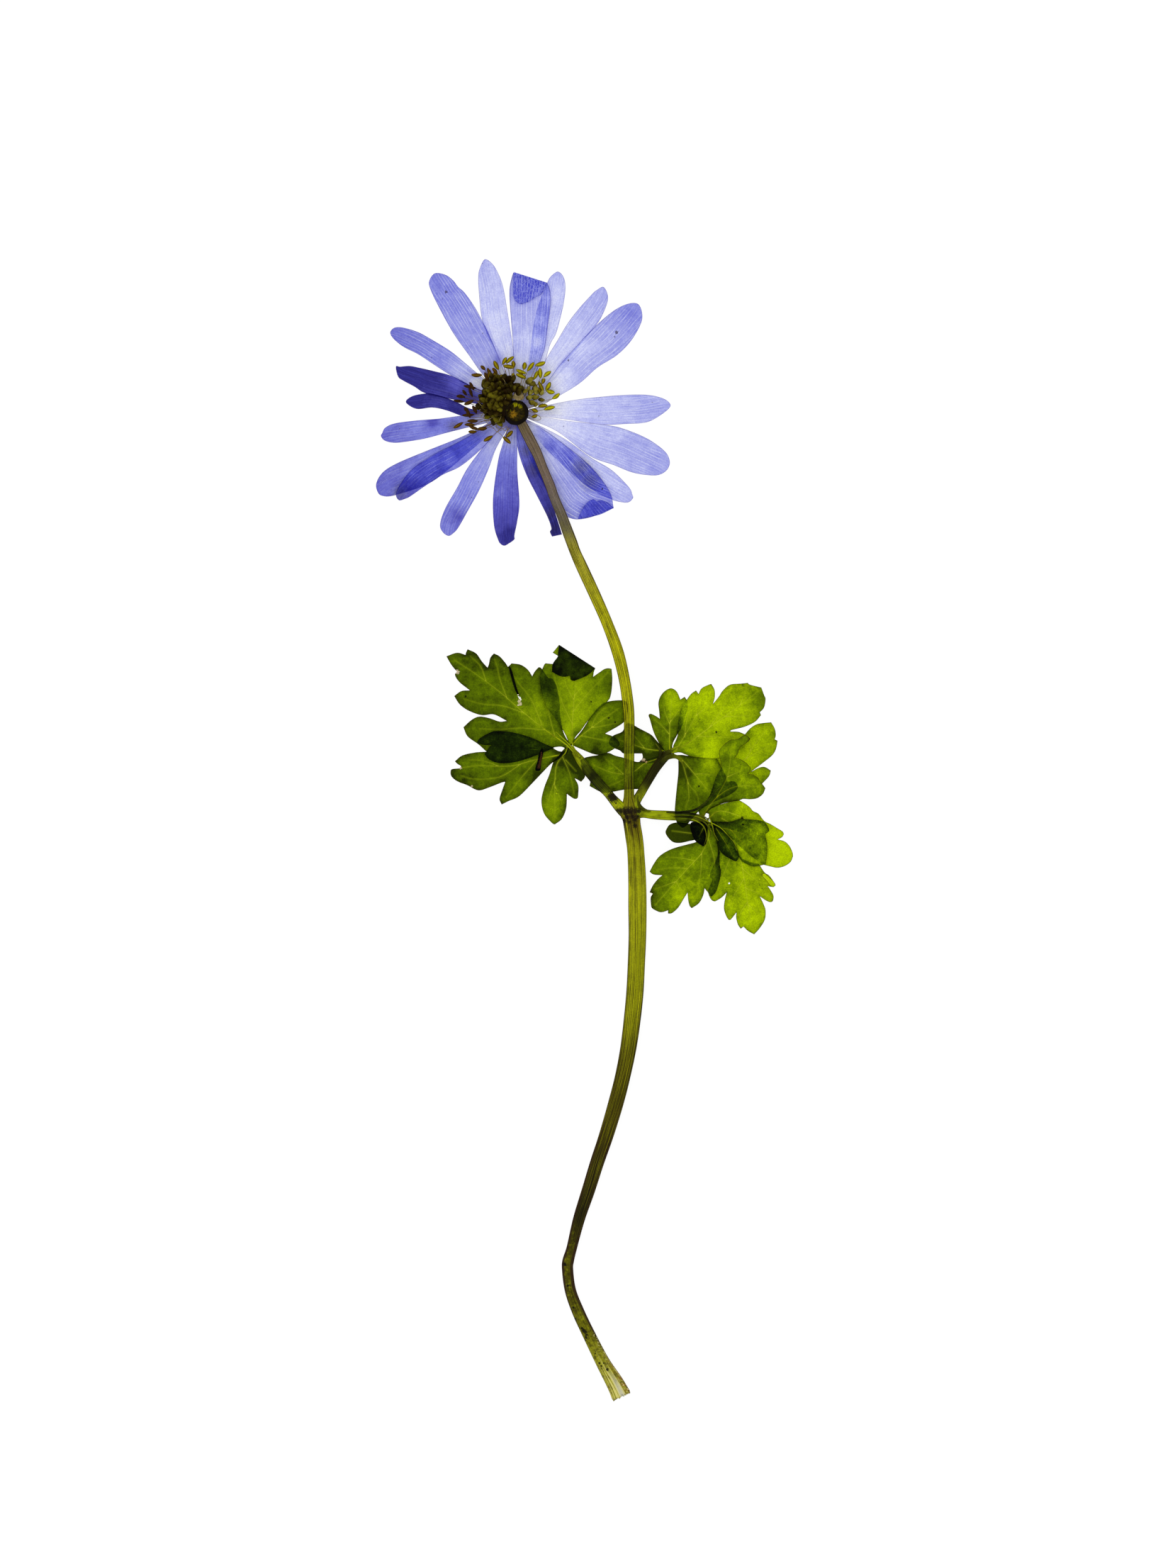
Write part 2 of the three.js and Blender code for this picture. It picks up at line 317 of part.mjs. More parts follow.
// A ribbed, flattened tube through stations with their own widths and heights
function ribbedTube(text, sides) {
  const stations = readPath(text);
  const corners = [];
  const index = [];
  stations.forEach(({ at, width, lift }, j) => {
    const before = stations[Math.max(0, j - 1)].at;
    const after = stations[Math.min(stations.length - 1, j + 1)].at;
    const along = after.clone().sub(before).normalize();
    const half = (width * STEM_FLATNESS) / 2;
    for (let k = 0; k < sides; k += 1) {
      const angle = (2 * Math.PI * (k + 0.5)) / sides;
      const rib = k % 2 ? 1 - RIB_DEPTH : 1;
      const across = (Math.cos(angle) * rib * width) / 2;
      const height = Math.max(Math.sin(angle) * rib, -UNDERSIDE_CUT) * half;
      corners.push(at.x - along.y * across, at.y + along.x * across, lift + half * UNDERSIDE_CUT + height);
    }
    if (j > 0) {
      for (let k = 0; k < sides; k += 1) {
        const next = (k + 1) % sides;
        const [low, high] = [(j - 1) * sides, j * sides];
        index.push(low + k, low + next, high + next, low + k, high + next, high + k);
      }
    }
  });
  for (const [j, forward] of [[0, false], [stations.length - 1, true]]) {
    const middle = corners.length / 3;
    const { at, width, lift } = stations[j];
    corners.push(at.x, at.y, lift + (width * STEM_FLATNESS * UNDERSIDE_CUT) / 2);
    for (let k = 0; k < sides; k += 1) {
      const pair = [j * sides + k, j * sides + ((k + 1) % sides)];
      index.push(middle, ...(forward ? pair : pair.reverse()));
    }
  }
  const geometry = new THREE.BufferGeometry();
  geometry.setAttribute("position", new THREE.Float32BufferAttribute(corners, 3));
  geometry.setIndex(index);
  return solid(geometry);
}

// A body turned round the Z axis from radius and height pairs
function turned(profile, sides) {
  const points = profile.map(([radius, height]) => new THREE.Vector2(radius, height));
  return new THREE.LatheGeometry(points, sides).rotateX(Math.PI / 2);
}

function upright(centre, radius, bottom, top, sides) {
  const geometry = turned([[0, bottom], [radius, bottom], [radius, top], [0, top]], sides);
  return solid(geometry.translate(centre.x, centre.y, 0));
}

const button = plan(BUTTON.x, BUTTON.y);

// The room that the button and the stem need among the pieces round them
function stemRoom() {
  const { length, width, height } = STEM_ROOM;
  const strip = new THREE.BoxGeometry(length, width, 2 * height);
  strip.translate(length / 2, 0, 0);
  strip.rotateZ(STEM_BEARING);
  strip.translate(button.x, button.y, 0);
  return upright(button, BUTTON.radius + GAP, -height, height, BUTTON.sides).add(solid(strip));
}

// The stem with its node and the dished button at its end
function makeStem() {
  const { radius, bottom, height, sides } = BUTTON;
  const cap = turned(BUTTON_PROFILE, sides).scale(radius, radius, height);
  return ribbedTube(STEM, STEM_SIDES).add(solid(cap.translate(button.x, button.y, bottom)));
}

// The tepals rise a little towards their tips, but not on the side where the stem lies on them
function flowerRise(x, y) {
  const radius = Math.hypot(x - button.x, y - button.y);
  const reach = Math.max(0, radius - FLOWER_RISE_FROM) / (FLOWER_RADIUS - FLOWER_RISE_FROM);
  const turn = Math.atan2(y - button.y, x - button.x) - STEM_BEARING;
  const away = (1 - Math.cos(turn)) / 2;
  return FLOWER_RISE * reach * reach * Math.min(1, 2 * away * away);
}

function makeTepals() {
  const disc = upright(button, TEPAL_DISC.radius, 0, BLADE + UPPER_TEPAL, TEPAL_DISC.sides);
  const level = ({ upper }) => (upper ? UPPER_TEPAL : 0);
  const blades = TEPALS.map((tepal) => blade(tepalOutline(tepal), (x, y) => level(tepal) + flowerRise(x, y)));
  const folds = TEPAL_FOLDS.map((fold) => blade(closedOutline(fold.path),
    (x, y) => level(fold) + FOLD_LIFT + flowerRise(x, y)));
  return join([disc, ...blades, ...folds]);
}

// One anther with its filament, which is rooted in the ring round the button
function makeStamen(base, tip) {
  const along = tip.clone().sub(base);
  const length = along.length();
  const waist = ANTHER_WIDTH / 2;
  const spindle = new THREE.LatheGeometry(
    [[0, 0], [waist, length * 0.3], [waist, length * 0.7], [0, length]].map(([r, h]) => new THREE.Vector2(r, h)),
    ANTHER_SIDES);
  spindle.rotateZ(along.angle() - Math.PI / 2);
  const anther = solid(spindle.translate(base.x, base.y, STAMEN_HEIGHT));
  const root = base.clone().sub(button);
  if (root.length() < STAMEN_RING.outer) {
    return anther;
  }
  root.setLength((STAMEN_RING.inner + STAMEN_RING.outer) / 2).add(button);
  const reach = base.clone().sub(root);
  const end = reach.length() + length * FILAMENT_OVERLAP;
  const filament = new THREE.LatheGeometry(
    [[0, 0], [FILAMENT_RADIUS, 0], [FILAMENT_RADIUS, end], [0, end]].map(([r, h]) => new THREE.Vector2(r, h)),
    FILAMENT_SIDES);
  filament.rotateZ(reach.angle() - Math.PI / 2);
  return anther.add(solid(filament.translate(root.x, root.y, STAMEN_HEIGHT)));
}

function makeStamens() {
  const low = STAMEN_HEIGHT - STAMEN_RING.thick / 2;
  const ring = upright(button, STAMEN_RING.outer, low, low + STAMEN_RING.thick, STAMEN_RING.sides);
  const stamens = ANTHERS.trim().split(/\s+/).map((word) => {
    const [base, tip] = word.split(">").map((pair) => plan(...pair.split(",").map(Number)));
    return makeStamen(base, tip);
  });
  return join([ring, ...stamens]).subtract(stemRoom());
}

function makeCarpel(x, y, z) {
  const knob = new THREE.OctahedronGeometry(CARPEL.radius, 1);
  knob.scale(1, 1, CARPEL.stretch);
  return solid(knob.translate(x, y, z));
}

// A low dome studded with carpels by the golden angle, on a pad that reaches round the button
function makeCarpels() {
  const pad = blade(closedOutline(HEAD_PAD), () => HEAD_BOTTOM, HEAD_PAD_THICK);
  const dome = turned(HEAD_PROFILE, HEAD.sides);
  dome.scale(HEAD.across * HEAD.core, HEAD.along * HEAD.core, HEAD.high);
  const centre = plan(HEAD.x, HEAD.y);
  const core = solid(dome.translate(centre.x, centre.y, HEAD_BOTTOM));
  const carpels = [];
  for (let i = 0; i < CARPEL.count; i += 1) {
    const reach = Math.sqrt((i + 0.5) / CARPEL.count);
    const angle = i * GOLDEN_ANGLE;
    const x = centre.x + Math.cos(angle) * reach * HEAD.across;
    const y = centre.y + Math.sin(angle) * reach * HEAD.along;
    const z = HEAD_BOTTOM + CARPEL.radius * CARPEL.stretch + HEAD.high * CARPEL.doming * (1 - reach * reach);
    carpels.push(makeCarpel(x, y, z));
  }
  const tail = readPath(TAIL_CARPELS).map(({ at }) => makeCarpel(at.x, at.y, HEAD_BOTTOM + HEAD_PAD_THICK));
  const floor = upright(centre, STEM_ROOM.height, 0, HEAD_BOTTOM, HEAD.sides);
  return join([pad, core, ...carpels, ...tail]).subtract(stemRoom()).subtract(floor);
}

// A leaf: its segments in their stack and its stalk. The tips lift a little, away from the stalk's end.
function makeLeaf(segments, stalk, lean) {
  const stalkEnd = readPath(stalk).at(-1).at;
  const blades = segments.map(({ level, path }) => blade(closedOutline(path), (x, y) => {
    const reach = Math.hypot(x - stalkEnd.x, y - stalkEnd.y) / LEAF_REACH;
    return lean(x + CENTRE_X, CENTRE_Y - y) + level + LEAF_TIP_LIFT * reach * reach;
  }));
  return join([ribbedTube(stalk, STALK_SIDES), ...blades]);
}

function named(name, body, color, roughness) {
  const { vertProperties, triVerts, numProp } = body.getMesh();
  const corners = [];
  for (let i = 0; i < vertProperties.length; i += numProp) {
    corners.push(vertProperties[i], vertProperties[i + 1], vertProperties[i + 2]);
  }
  const geometry = new THREE.BufferGeometry();
  geometry.setAttribute("position", new THREE.Float32BufferAttribute(corners, 3));
  geometry.setIndex(Array.from(triVerts));
  geometry.computeVertexNormals();
  const mesh = new THREE.Mesh(geometry, new THREE.MeshStandardMaterial({ color, roughness, metalness: 0 }));
  mesh.name = name;
  return mesh;
}

const flower = new THREE.Group();
flower.add(
  named("stem", makeStem(), 0x8c8a24, 0.6),
  named("leaf_left", makeLeaf(LEFT_LEAF, LEFT_STALK, (x) => LEFT_LEAF_SLOPE * (x - LEFT_LEAF_FOOT)), 0x5f7f0c, 0.65),
  named("leaf_upper_right", makeLeaf(UPPER_LEAF, UPPER_STALK, () => 0), 0x8fae12, 0.65),
  named("leaf_lower_right", makeLeaf(LOWER_LEAF, LOWER_STALK,
    (x, y) => LOWER_LEAF_SLOPE * (LOWER_LEAF_FOOT - y)), 0x7f9c10, 0.65),
  named("tepals", makeTepals(), 0x8f8fe0, 0.7),
  named("stamens", makeStamens(), 0xa99c08, 0.6),
  named("carpels", makeCarpels(), 0x46480c, 0.7),
);

export default flower;
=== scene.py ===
import math

import bpy
import numpy as np
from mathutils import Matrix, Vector
from mathutils.geometry import delaunay_2d_cdt


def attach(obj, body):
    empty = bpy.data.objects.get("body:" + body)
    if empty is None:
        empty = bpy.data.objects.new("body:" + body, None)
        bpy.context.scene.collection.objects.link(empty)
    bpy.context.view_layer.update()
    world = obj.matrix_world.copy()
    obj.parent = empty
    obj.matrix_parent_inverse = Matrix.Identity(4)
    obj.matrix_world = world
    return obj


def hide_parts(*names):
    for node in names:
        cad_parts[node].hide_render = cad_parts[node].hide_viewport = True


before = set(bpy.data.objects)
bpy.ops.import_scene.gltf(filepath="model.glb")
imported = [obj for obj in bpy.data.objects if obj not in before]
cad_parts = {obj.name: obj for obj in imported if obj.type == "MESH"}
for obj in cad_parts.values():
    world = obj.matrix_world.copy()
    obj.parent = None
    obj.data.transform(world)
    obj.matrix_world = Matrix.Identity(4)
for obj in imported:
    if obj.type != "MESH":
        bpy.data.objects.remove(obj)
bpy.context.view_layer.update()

# Plans are in millimetres on the sheet that the flower lies on: x to the right, y down from its top left
# corner. The meshes are in metres.
MM = 0.001
CENTRE = (82.47, 117.21)
SHEET = (165.8, 221.2)
LAMP_PLACE = (-0.32, 0.3, 0.62)

# How far outside an outline a depth is still worked out, how many points at a time, and the least length
FAR, CHUNK, TINY = 0.9, 4000, 1e-9

# Blades: how thick, how wide their nets are, how close the rows of a net, and how far veins stay inside
BLADE = 0.15
SHEET_SPACING, LATTICE_ROW, VEIN_INSET = 0.3, 0.87, 0.12
# In spacings of the net: how far its points stay from the outline and from veins, how far beside a vein a
# row of points runs along it, and how far that row stays from all else
EDGE_GAP, VEIN_GAP, BESIDE_VEIN, BESIDE_GAP = 0.45, 0.6, 0.4, 0.2
# The triangulation keeps what lies inside the outline, and joins points that are closer than this
INSIDE_ONLY, SAME_POINT = 1, 1e-5

# The flower: the heights of its two rings and of its folds, and how it rises outward, but not by the stem
TEPAL_LEVEL, UPPER_TEPAL, FOLD_LEVEL = 0.22, 0.5, 0.46
FLOWER_RISE, FLOWER_RISE_FROM, FLOWER_RADIUS, STEM_BEARING = 0.9, 7.0, 21.0, -1.12
# The grid of a tepal, how much its rows crowd to the tip, how far its root goes on under the head, and how
# far apart its veins run
TEPAL_ROWS, TEPAL_COLUMNS, TIP_CROWDING, ROOT_REACH = 76, 21, 1.6, 0.8
VEIN_LANE = 0.74
# How far a tepal arches, ripples and is fluted, and how long the waves are. The turned parts ripple less
TEPAL_ARCH, TEPAL_RIPPLE, TEPAL_WAVE, TEPAL_FLUTES, FLUTE_PACE = 0.1, 0.05, 3.1, 0.03, 9
FOLD_RIPPLE, FOLD_WAVE = 0.03, 2
# How far the lanes of its veins spread from the root, as a share
LANE_SPREAD = 0.35

# The leaves: their planes, which slope from a foot line, how they lift to their tips, how high and
# long their ripples are, and how deep and wide the dip along a vein is
LEAF_LEVEL, LEAF_TIP_LIFT, LEAF_REACH, LEAF_RIPPLE, LEAF_WAVE = 0.3, 0.3, 18.0, 0.07, 4.4
VEIN_DIP, VEIN_DIP_WIDTH = 0.04, 0.22
LEFT_LEAF_SLOPE, LEFT_LEAF_FOOT = 0.045, 63.0
LOWER_LEAF_SLOPE, LOWER_LEAF_FOOT = 0.074, 131.8
# How much finer than drawn the veins are, from root to tip. Then the width of a midrib at the hub, how much
# of it is lost to the tip, how much of its vein it follows, and how near the hub that vein has to start
MAIN_VEIN_TAPER, SIDE_VEIN_TAPER = (0.0, 0.045), (0.02, 0.06)
MIDRIB_WIDTH, MIDRIB_TAPER, MIDRIB_SHARE, HUB_REACH = 0.24, 0.2, 0.6, 2.6

# Stem and stalks: how flat they are pressed, and how far below their middle their flat side lies
TUBE_FLATNESS, TUBE_SOLE = 0.62, 0.84
# How far their ribs turn to and fro and over what length, then the height, number round and length of the
# waves that make the ribs uneven
RIB_TWIST, TWIST_LENGTH = 0.25, 17
UNEVEN_RIBS, UNEVEN_SIDES, UNEVEN_LENGTH = 0.25, 5, 23
# The last rings of the stem, and their shares of the tear
TORN_RINGS = ((-1, 1.0), (-2, 0.7), (-3, 0.3))

# Turned pieces: the radius and height of each point of their profiles, from pole to pole
BUTTON, BUTTON_RADIUS = (72.84, 58.33), 1.78
BUTTON_DISH = [(0.0, 1.5), (0.9, 1.5), (1.5, 1.52), (1.72, 1.7), (1.78, 1.95), (1.78, 2.25), (1.7, 2.55),
               (1.56, 2.72), (1.42, 2.78), (1.3, 2.72), (1.2, 2.6), (1.05, 2.5), (0.8, 2.42), (0.5, 2.4),
               (0.2, 2.44), (0.0, 2.45)]
ROOT_DISC = [(0.0, 0.3), (1.3, 0.3), (1.5, 0.38), (1.58, 0.5), (1.5, 0.62), (1.3, 0.7), (0.8, 0.72),
             (0.0, 0.74)]
HEAD_DOME = [(0.0, 2.3), (0.95, 2.32), (1.0, 2.45), (0.95, 2.85), (0.75, 3.3), (0.45, 3.6), (0.2, 3.72),
             (0.0, 3.75)]

# The head of carpels: its middle, its half width, half length and height, how many carpels it has and their
# grids, and the place round which they are painted in shade
HEAD, SHADED_HEART = (70.2, 56.6), (71.5, 55.0)
HEAD_ACROSS, HEAD_ALONG, HEAD_HIGH = 2.3, 3.2, 1.2
CARPELS, CARPEL_LONG, CARPEL_ROUND = 62, 12, 18
# Foot heights and sizes of the carpels on the head, past the button and between them
ON_HEAD, PAST_BUTTON, BETWEEN = (2.6, 0.52), (2.3, 0.38), (2.7, 0.48)
GOLDEN_ANGLE = math.pi * (3 - math.sqrt(5))
# How far from the button's rim the dome is flat and at what height, and how far the carpels stay off
DOME_GAP, DOME_FLAT, CARPEL_GAP = 0.25, 2.75, 0.28
# Carpels past the button, and dark ones between it and the head
TAIL = (
    "74.3,54.1 75,54.3 75.2,55.1 74.5,54.9 74.6,55.6 75.2,56.2 75.4,57.2 74.7,56.9 74.3,56.3 73.9,55.4"
    " 75.5,55.6 76,56.5 76.3,55.6")
CORE = "72.3,54 72.7,54.6 72.5,55 73.2,55.2 72.2,55.4 72.9,55.5 72,54.5 71.8,53.6"
# Thin pale styles across the head, and a skin beside it
STYLES = [
    "67.5,56.9 68.1,57.5 68.9,57.8", "67.9,59 68.5,58.3 69.2,58.6", "68.9,59.7 69.5,59.1 70.3,59.4",
    "69.9,59.9 70.5,59.5 70.8,58.8", "68.4,55.5 68.9,56.2 68.8,56.9", "69.7,57.3 70.3,57.9 70.2,58.7",
    "71.2,56.9 71.5,56.2 72.2,55.9", "68.2,54.6 68.9,54.9 69.5,54.6", "70,55.8 70.4,56.5 71.1,56.6",
    "67.7,58 68.3,57.9 68.7,58.3", "70.9,53.5 71.3,54.1 71.2,54.8"]
MEMBRANE = "72.2,56.3* 72.5,55.8 73.2,55.55 73.8,55.7* 74,56.2* 73.8,56.5 73.1,56.7*"

# Tepals from the upper left clockwise: on top or under, how deep its blue is, then its two edges from root
# to tip, where a star marks a sharp tip
TEPALS = [
    (1, 0.3, "71,56 68.2,53 66.2,50.2 64,47.1 62,43.5 60.8,41 60.6,39.8 61.4,38.7",
     "72.4,56 70.6,51 69,47.2 67.2,43.7 65.6,41.4 64.7,40.6 64,39.7 62.9,38.9 61.4,38.7"),
    (0, -0.04, "72,55.5 70.4,50.5 69,47.8 68,45 67.6,41.5 67.5,39.2 67.7,38 68.4,36.7",
     "73.2,55 72.4,49 71.7,44.5 71,40.5 70.2,38.4 69.4,37.2 68.4,36.7"),
    (1, 0.14, "72.6,55 72.4,49 72.1,45 71.9,41.8 72,40.2 72.4,38.7 72.6,38.6*",
     "75,54.5 76.4,50.5 76.9,49 77.3,46 77.7,43 77.6,41 77.2,40"),
    (0, -0.04, "74.2,54.5 75,48 75.3,46 75.7,44 76.4,42 77.2,40 77.7,39.1 78.7,38.4",
     "76,54.5 77.5,49 78.5,47 79.3,44 79.6,42.5 79.8,40.5 79.5,39.1 78.7,38.4"),
    (0, 0.04, "75.2,54.8 77,50.8 78.5,48.3 80,45.8 81.5,43.8 83.5,41.6 84.2,41 85.2,40.6",
     "76.5,55.5 78.3,52.6 80.4,50.3 82.2,48.3 84,46.1 85,44.5 85.8,42.2 85.2,40.6"),
    (1, 0.2, "75.4,55.8 77.5,53.5 79,51.5 81.5,48.7 84,46.1 86.5,44 88.5,43 90,43",
     "76,57.2 78.5,56.1 81.8,54.1 84.3,51.9 87,50.2 89,48.2 90.4,45.8 90.6,44.3 90,43"),
    (0, 0.06, "75.5,57.6 78.5,56.9 82,56.3 87,55.8 91,55.7 93.5,56.2 94.6,57.1",
     "75.5,58.6 80,59.2 85,59.9 88.5,59.8 90.5,59.7 92,59.3 94,58 94.6,57.1"),
    (1, 0.1, "75.5,58.6 80,59.4 85.7,60 88.5,60.7 91.5,62 93.8,63.7 94.5,65.1 94.2,66.2",
     "75.2,59.4 77.5,60.3 79.5,61.5 83.3,64.4 86.5,65.6 89.3,66.7 92,67.1 93.3,66.9 94.2,66.2"),
    (0, 0.0, "74.8,59.4 79.5,61.8 83.3,64.5 85.7,65.9 87,66.9 88.8,68.8 89.2,69.7 89.3,70.3",
     "74.2,60 77,63.3 80,66.2 82,68 84.5,69.7 86.6,70.6 88.5,70.9 89.3,70.3"),
    (1, 0.22, "74.3,59.6 76.5,60.5 80,63 83,65.5 85,67.8 86.2,69.8 86.6,71.7*",
     "73.6,60.6 74.8,62.8 76.5,66.3 77.8,69.6 79,72 79.7,72.8 81.5,73.3 84,72.8 86.6,71.7"),
    (0, 0.8, "73.9,60.3 74.9,62.6 76,65.6 77.2,69 78.3,72.2 79,74.4 79.3,75.4*",
     "72.7,60.2 73.1,63.5 74.2,66.8 75.8,70 77.2,72.8 77.8,74.5 77.6,75 77.9,75.7"),
    (1, 0.66, "72.9,60.5 73,63.5 73,66.5 73.3,71 73,73.5 72.6,75.5 72.6,76.1 71.8,76.7 71.2,77",
     "71.6,60.5 70.9,62.8 70.3,65 69.6,70 69.7,74 70.3,76.2 70.7,76.8 71.2,77"),
    (0, 0.38, "71.6,60.5 70,63.3 69,66 67.6,69.2 66,72.1 64.7,74.4 64,75.2 63.3,75.6",
     "70.8,60 68.4,62.8 66,66 64.5,68.8 62.8,71.8 62.1,74 62.5,75.1 63.3,75.6"),
    (1, 0.5, "70.6,60.6 67.8,63.5 65,65.8 62.5,67 60,68.6 58,70 57.2,70.4 56.3,70.6",
     "69.5,59.5 67.5,60.8 64.5,62.5 61.5,64 58.3,66.1 56.6,68.2 55.9,69.7 56.3,70.6"),
    (0, 0.46, "70,60.5 66,64 62.5,66.9 60,68.5 57.5,69.4 55.2,70 54.1,70 53.4,69.6",
     "69.8,59.2 67.5,60.5 64.5,61.9 60,63.7 56,65.4 54,66.7 53.1,68.3 53.4,69.6"),
    (1, 0.42, "70,59.4 67,60.1 63,61.1 60,61.9 57,62.4 55.5,62.5 54.3,62.2 53.8,61.6",
     "70,58.2 65,58.7 62,59.1 58.5,59.4 55.7,59.8 54.4,60.4 54,61.1 53.8,61.6"),
    (0, 0.92, "70.2,59 66.5,58.9 65.2,58.7 63,57.9 61,57.5 58.8,57.7 57.3,56.8",
     "70,58 66.5,57.7 64,56.5 61,55.6 59.5,55.6 58,56 57.3,56.8"),
    (1, 0.94, "70,57.4 66.5,56.9 63,56.2 60,55.5 58.5,54.6 57,53.8 56.2,53.2 55.9,51.8",
     "70.2,56 67,54.7 63.8,53.1 61.2,52.4 59,51.9 57.8,51.7 56.5,51.8 55.9,51.8"),
    (0, 0.38, "70.2,56.4 67.2,55 65,53.8 63,52.6 61,51.3 59,50 57,49 55.6,47.9 55.1,47",
     "70.6,55.4 67.5,52.8 65.5,51.1 63.5,49.5 60.7,47.8 59,46.9 57,46.3 55.7,46.3 55.1,47"),
]
# Folded parts: on top or under, how deep its blue is, and the outline, where a star marks a sharp corner
TEPAL_FOLDS = [
    (1, 0.3, "72.5,38.5* 77.2,40* 76.5,41.5 75.5,42.1 74.5,42.7 73.5,43 72.8,42.6 72.4,41.8*"),
    (1, 0.4, "81.5,73.3* 82,72.2 82.4,71.5 83,70.8 83.7,70.45* 84.3,70.8 84.6,70.6 85.2,70.7 85.8,71"
     " 86.6,71.7* 85,72.5 84,72.8 82.5,73.1"),
    (0, 0.7, "73.7,60.8* 74.7,62.2 75.5,64.2 76.4,66.6 77.1,68.6* 76,67.2 75.1,65.4 74.3,63.2*"),
]
# Deeper and paler areas of the tepals: sheet x, sheet y, radius and how much
TEPAL_AREAS = (
    "80.3,64.6,1.3,.1 82.3,66.8,1.4,.15 84,68.6,1.2,.12 67.5,54.4,1,-.85 71.2,52.6,.8,-.5 73.2,54.2,1,-.5"
    " 68.3,58.4,.9,-.3 78,74.5,1.3,.14 71.3,76,1.7,.16 65,52.4,1.9,-.2 79.4,53.2,1.8,-.14 64,60.2,1.6,.16"
    " 60.6,66.4,1.6,-.12 56.5,69.5,1.2,-.06 61,56.5,1.6,-.1 76.6,45.5,1.2,-.12 74.5,41,1.5,.08"
    " 77.5,42,1.5,-.13 75.8,48.4,1.1,-.3 81.5,49.3,1.6,-.18 84.5,48.5,2,-.12 70.5,50.8,.9,.34 70.6,49,1,.1"
    " 68.8,52.6,.8,.25 64.3,54.4,1.1,-.25 61,59.6,1,.25 76.3,60.6,1.5,.22 77.6,63,.9,.22 81,63.2,.8,.18"
    " 72.2,62.4,1,-.18 63.5,65,.9,-.22 60.8,65,.9,-.1 58.2,66.7,.9,-.18 64.5,73,1.3,.18 72.3,75.3,1.1,.22"
    " 70.5,69.4,1.3,-.13 82.9,72.3,.85,.5 84.6,71.6,.9,.12 89,44.5,1.5,.12 74,47.6,1,-.12")
# Brownish shade on the deep tepals, and their dark spots: sheet x, sheet y and radius
TEPAL_DUSK = (
    "82,66,1.7 83.2,67.8,1.7 75.3,66.2,1.4 74.4,63.6,1.1 77.6,72.6,1.2 78.2,74.6,1.3 56.5,69.6,1.4"
    " 64,60.2,1.1")
TEPAL_SPOTS = "63,41.3,.22 87,46.95,.24 86.75,47.6,.1 80.2,50.9,.14 85,69,.12"

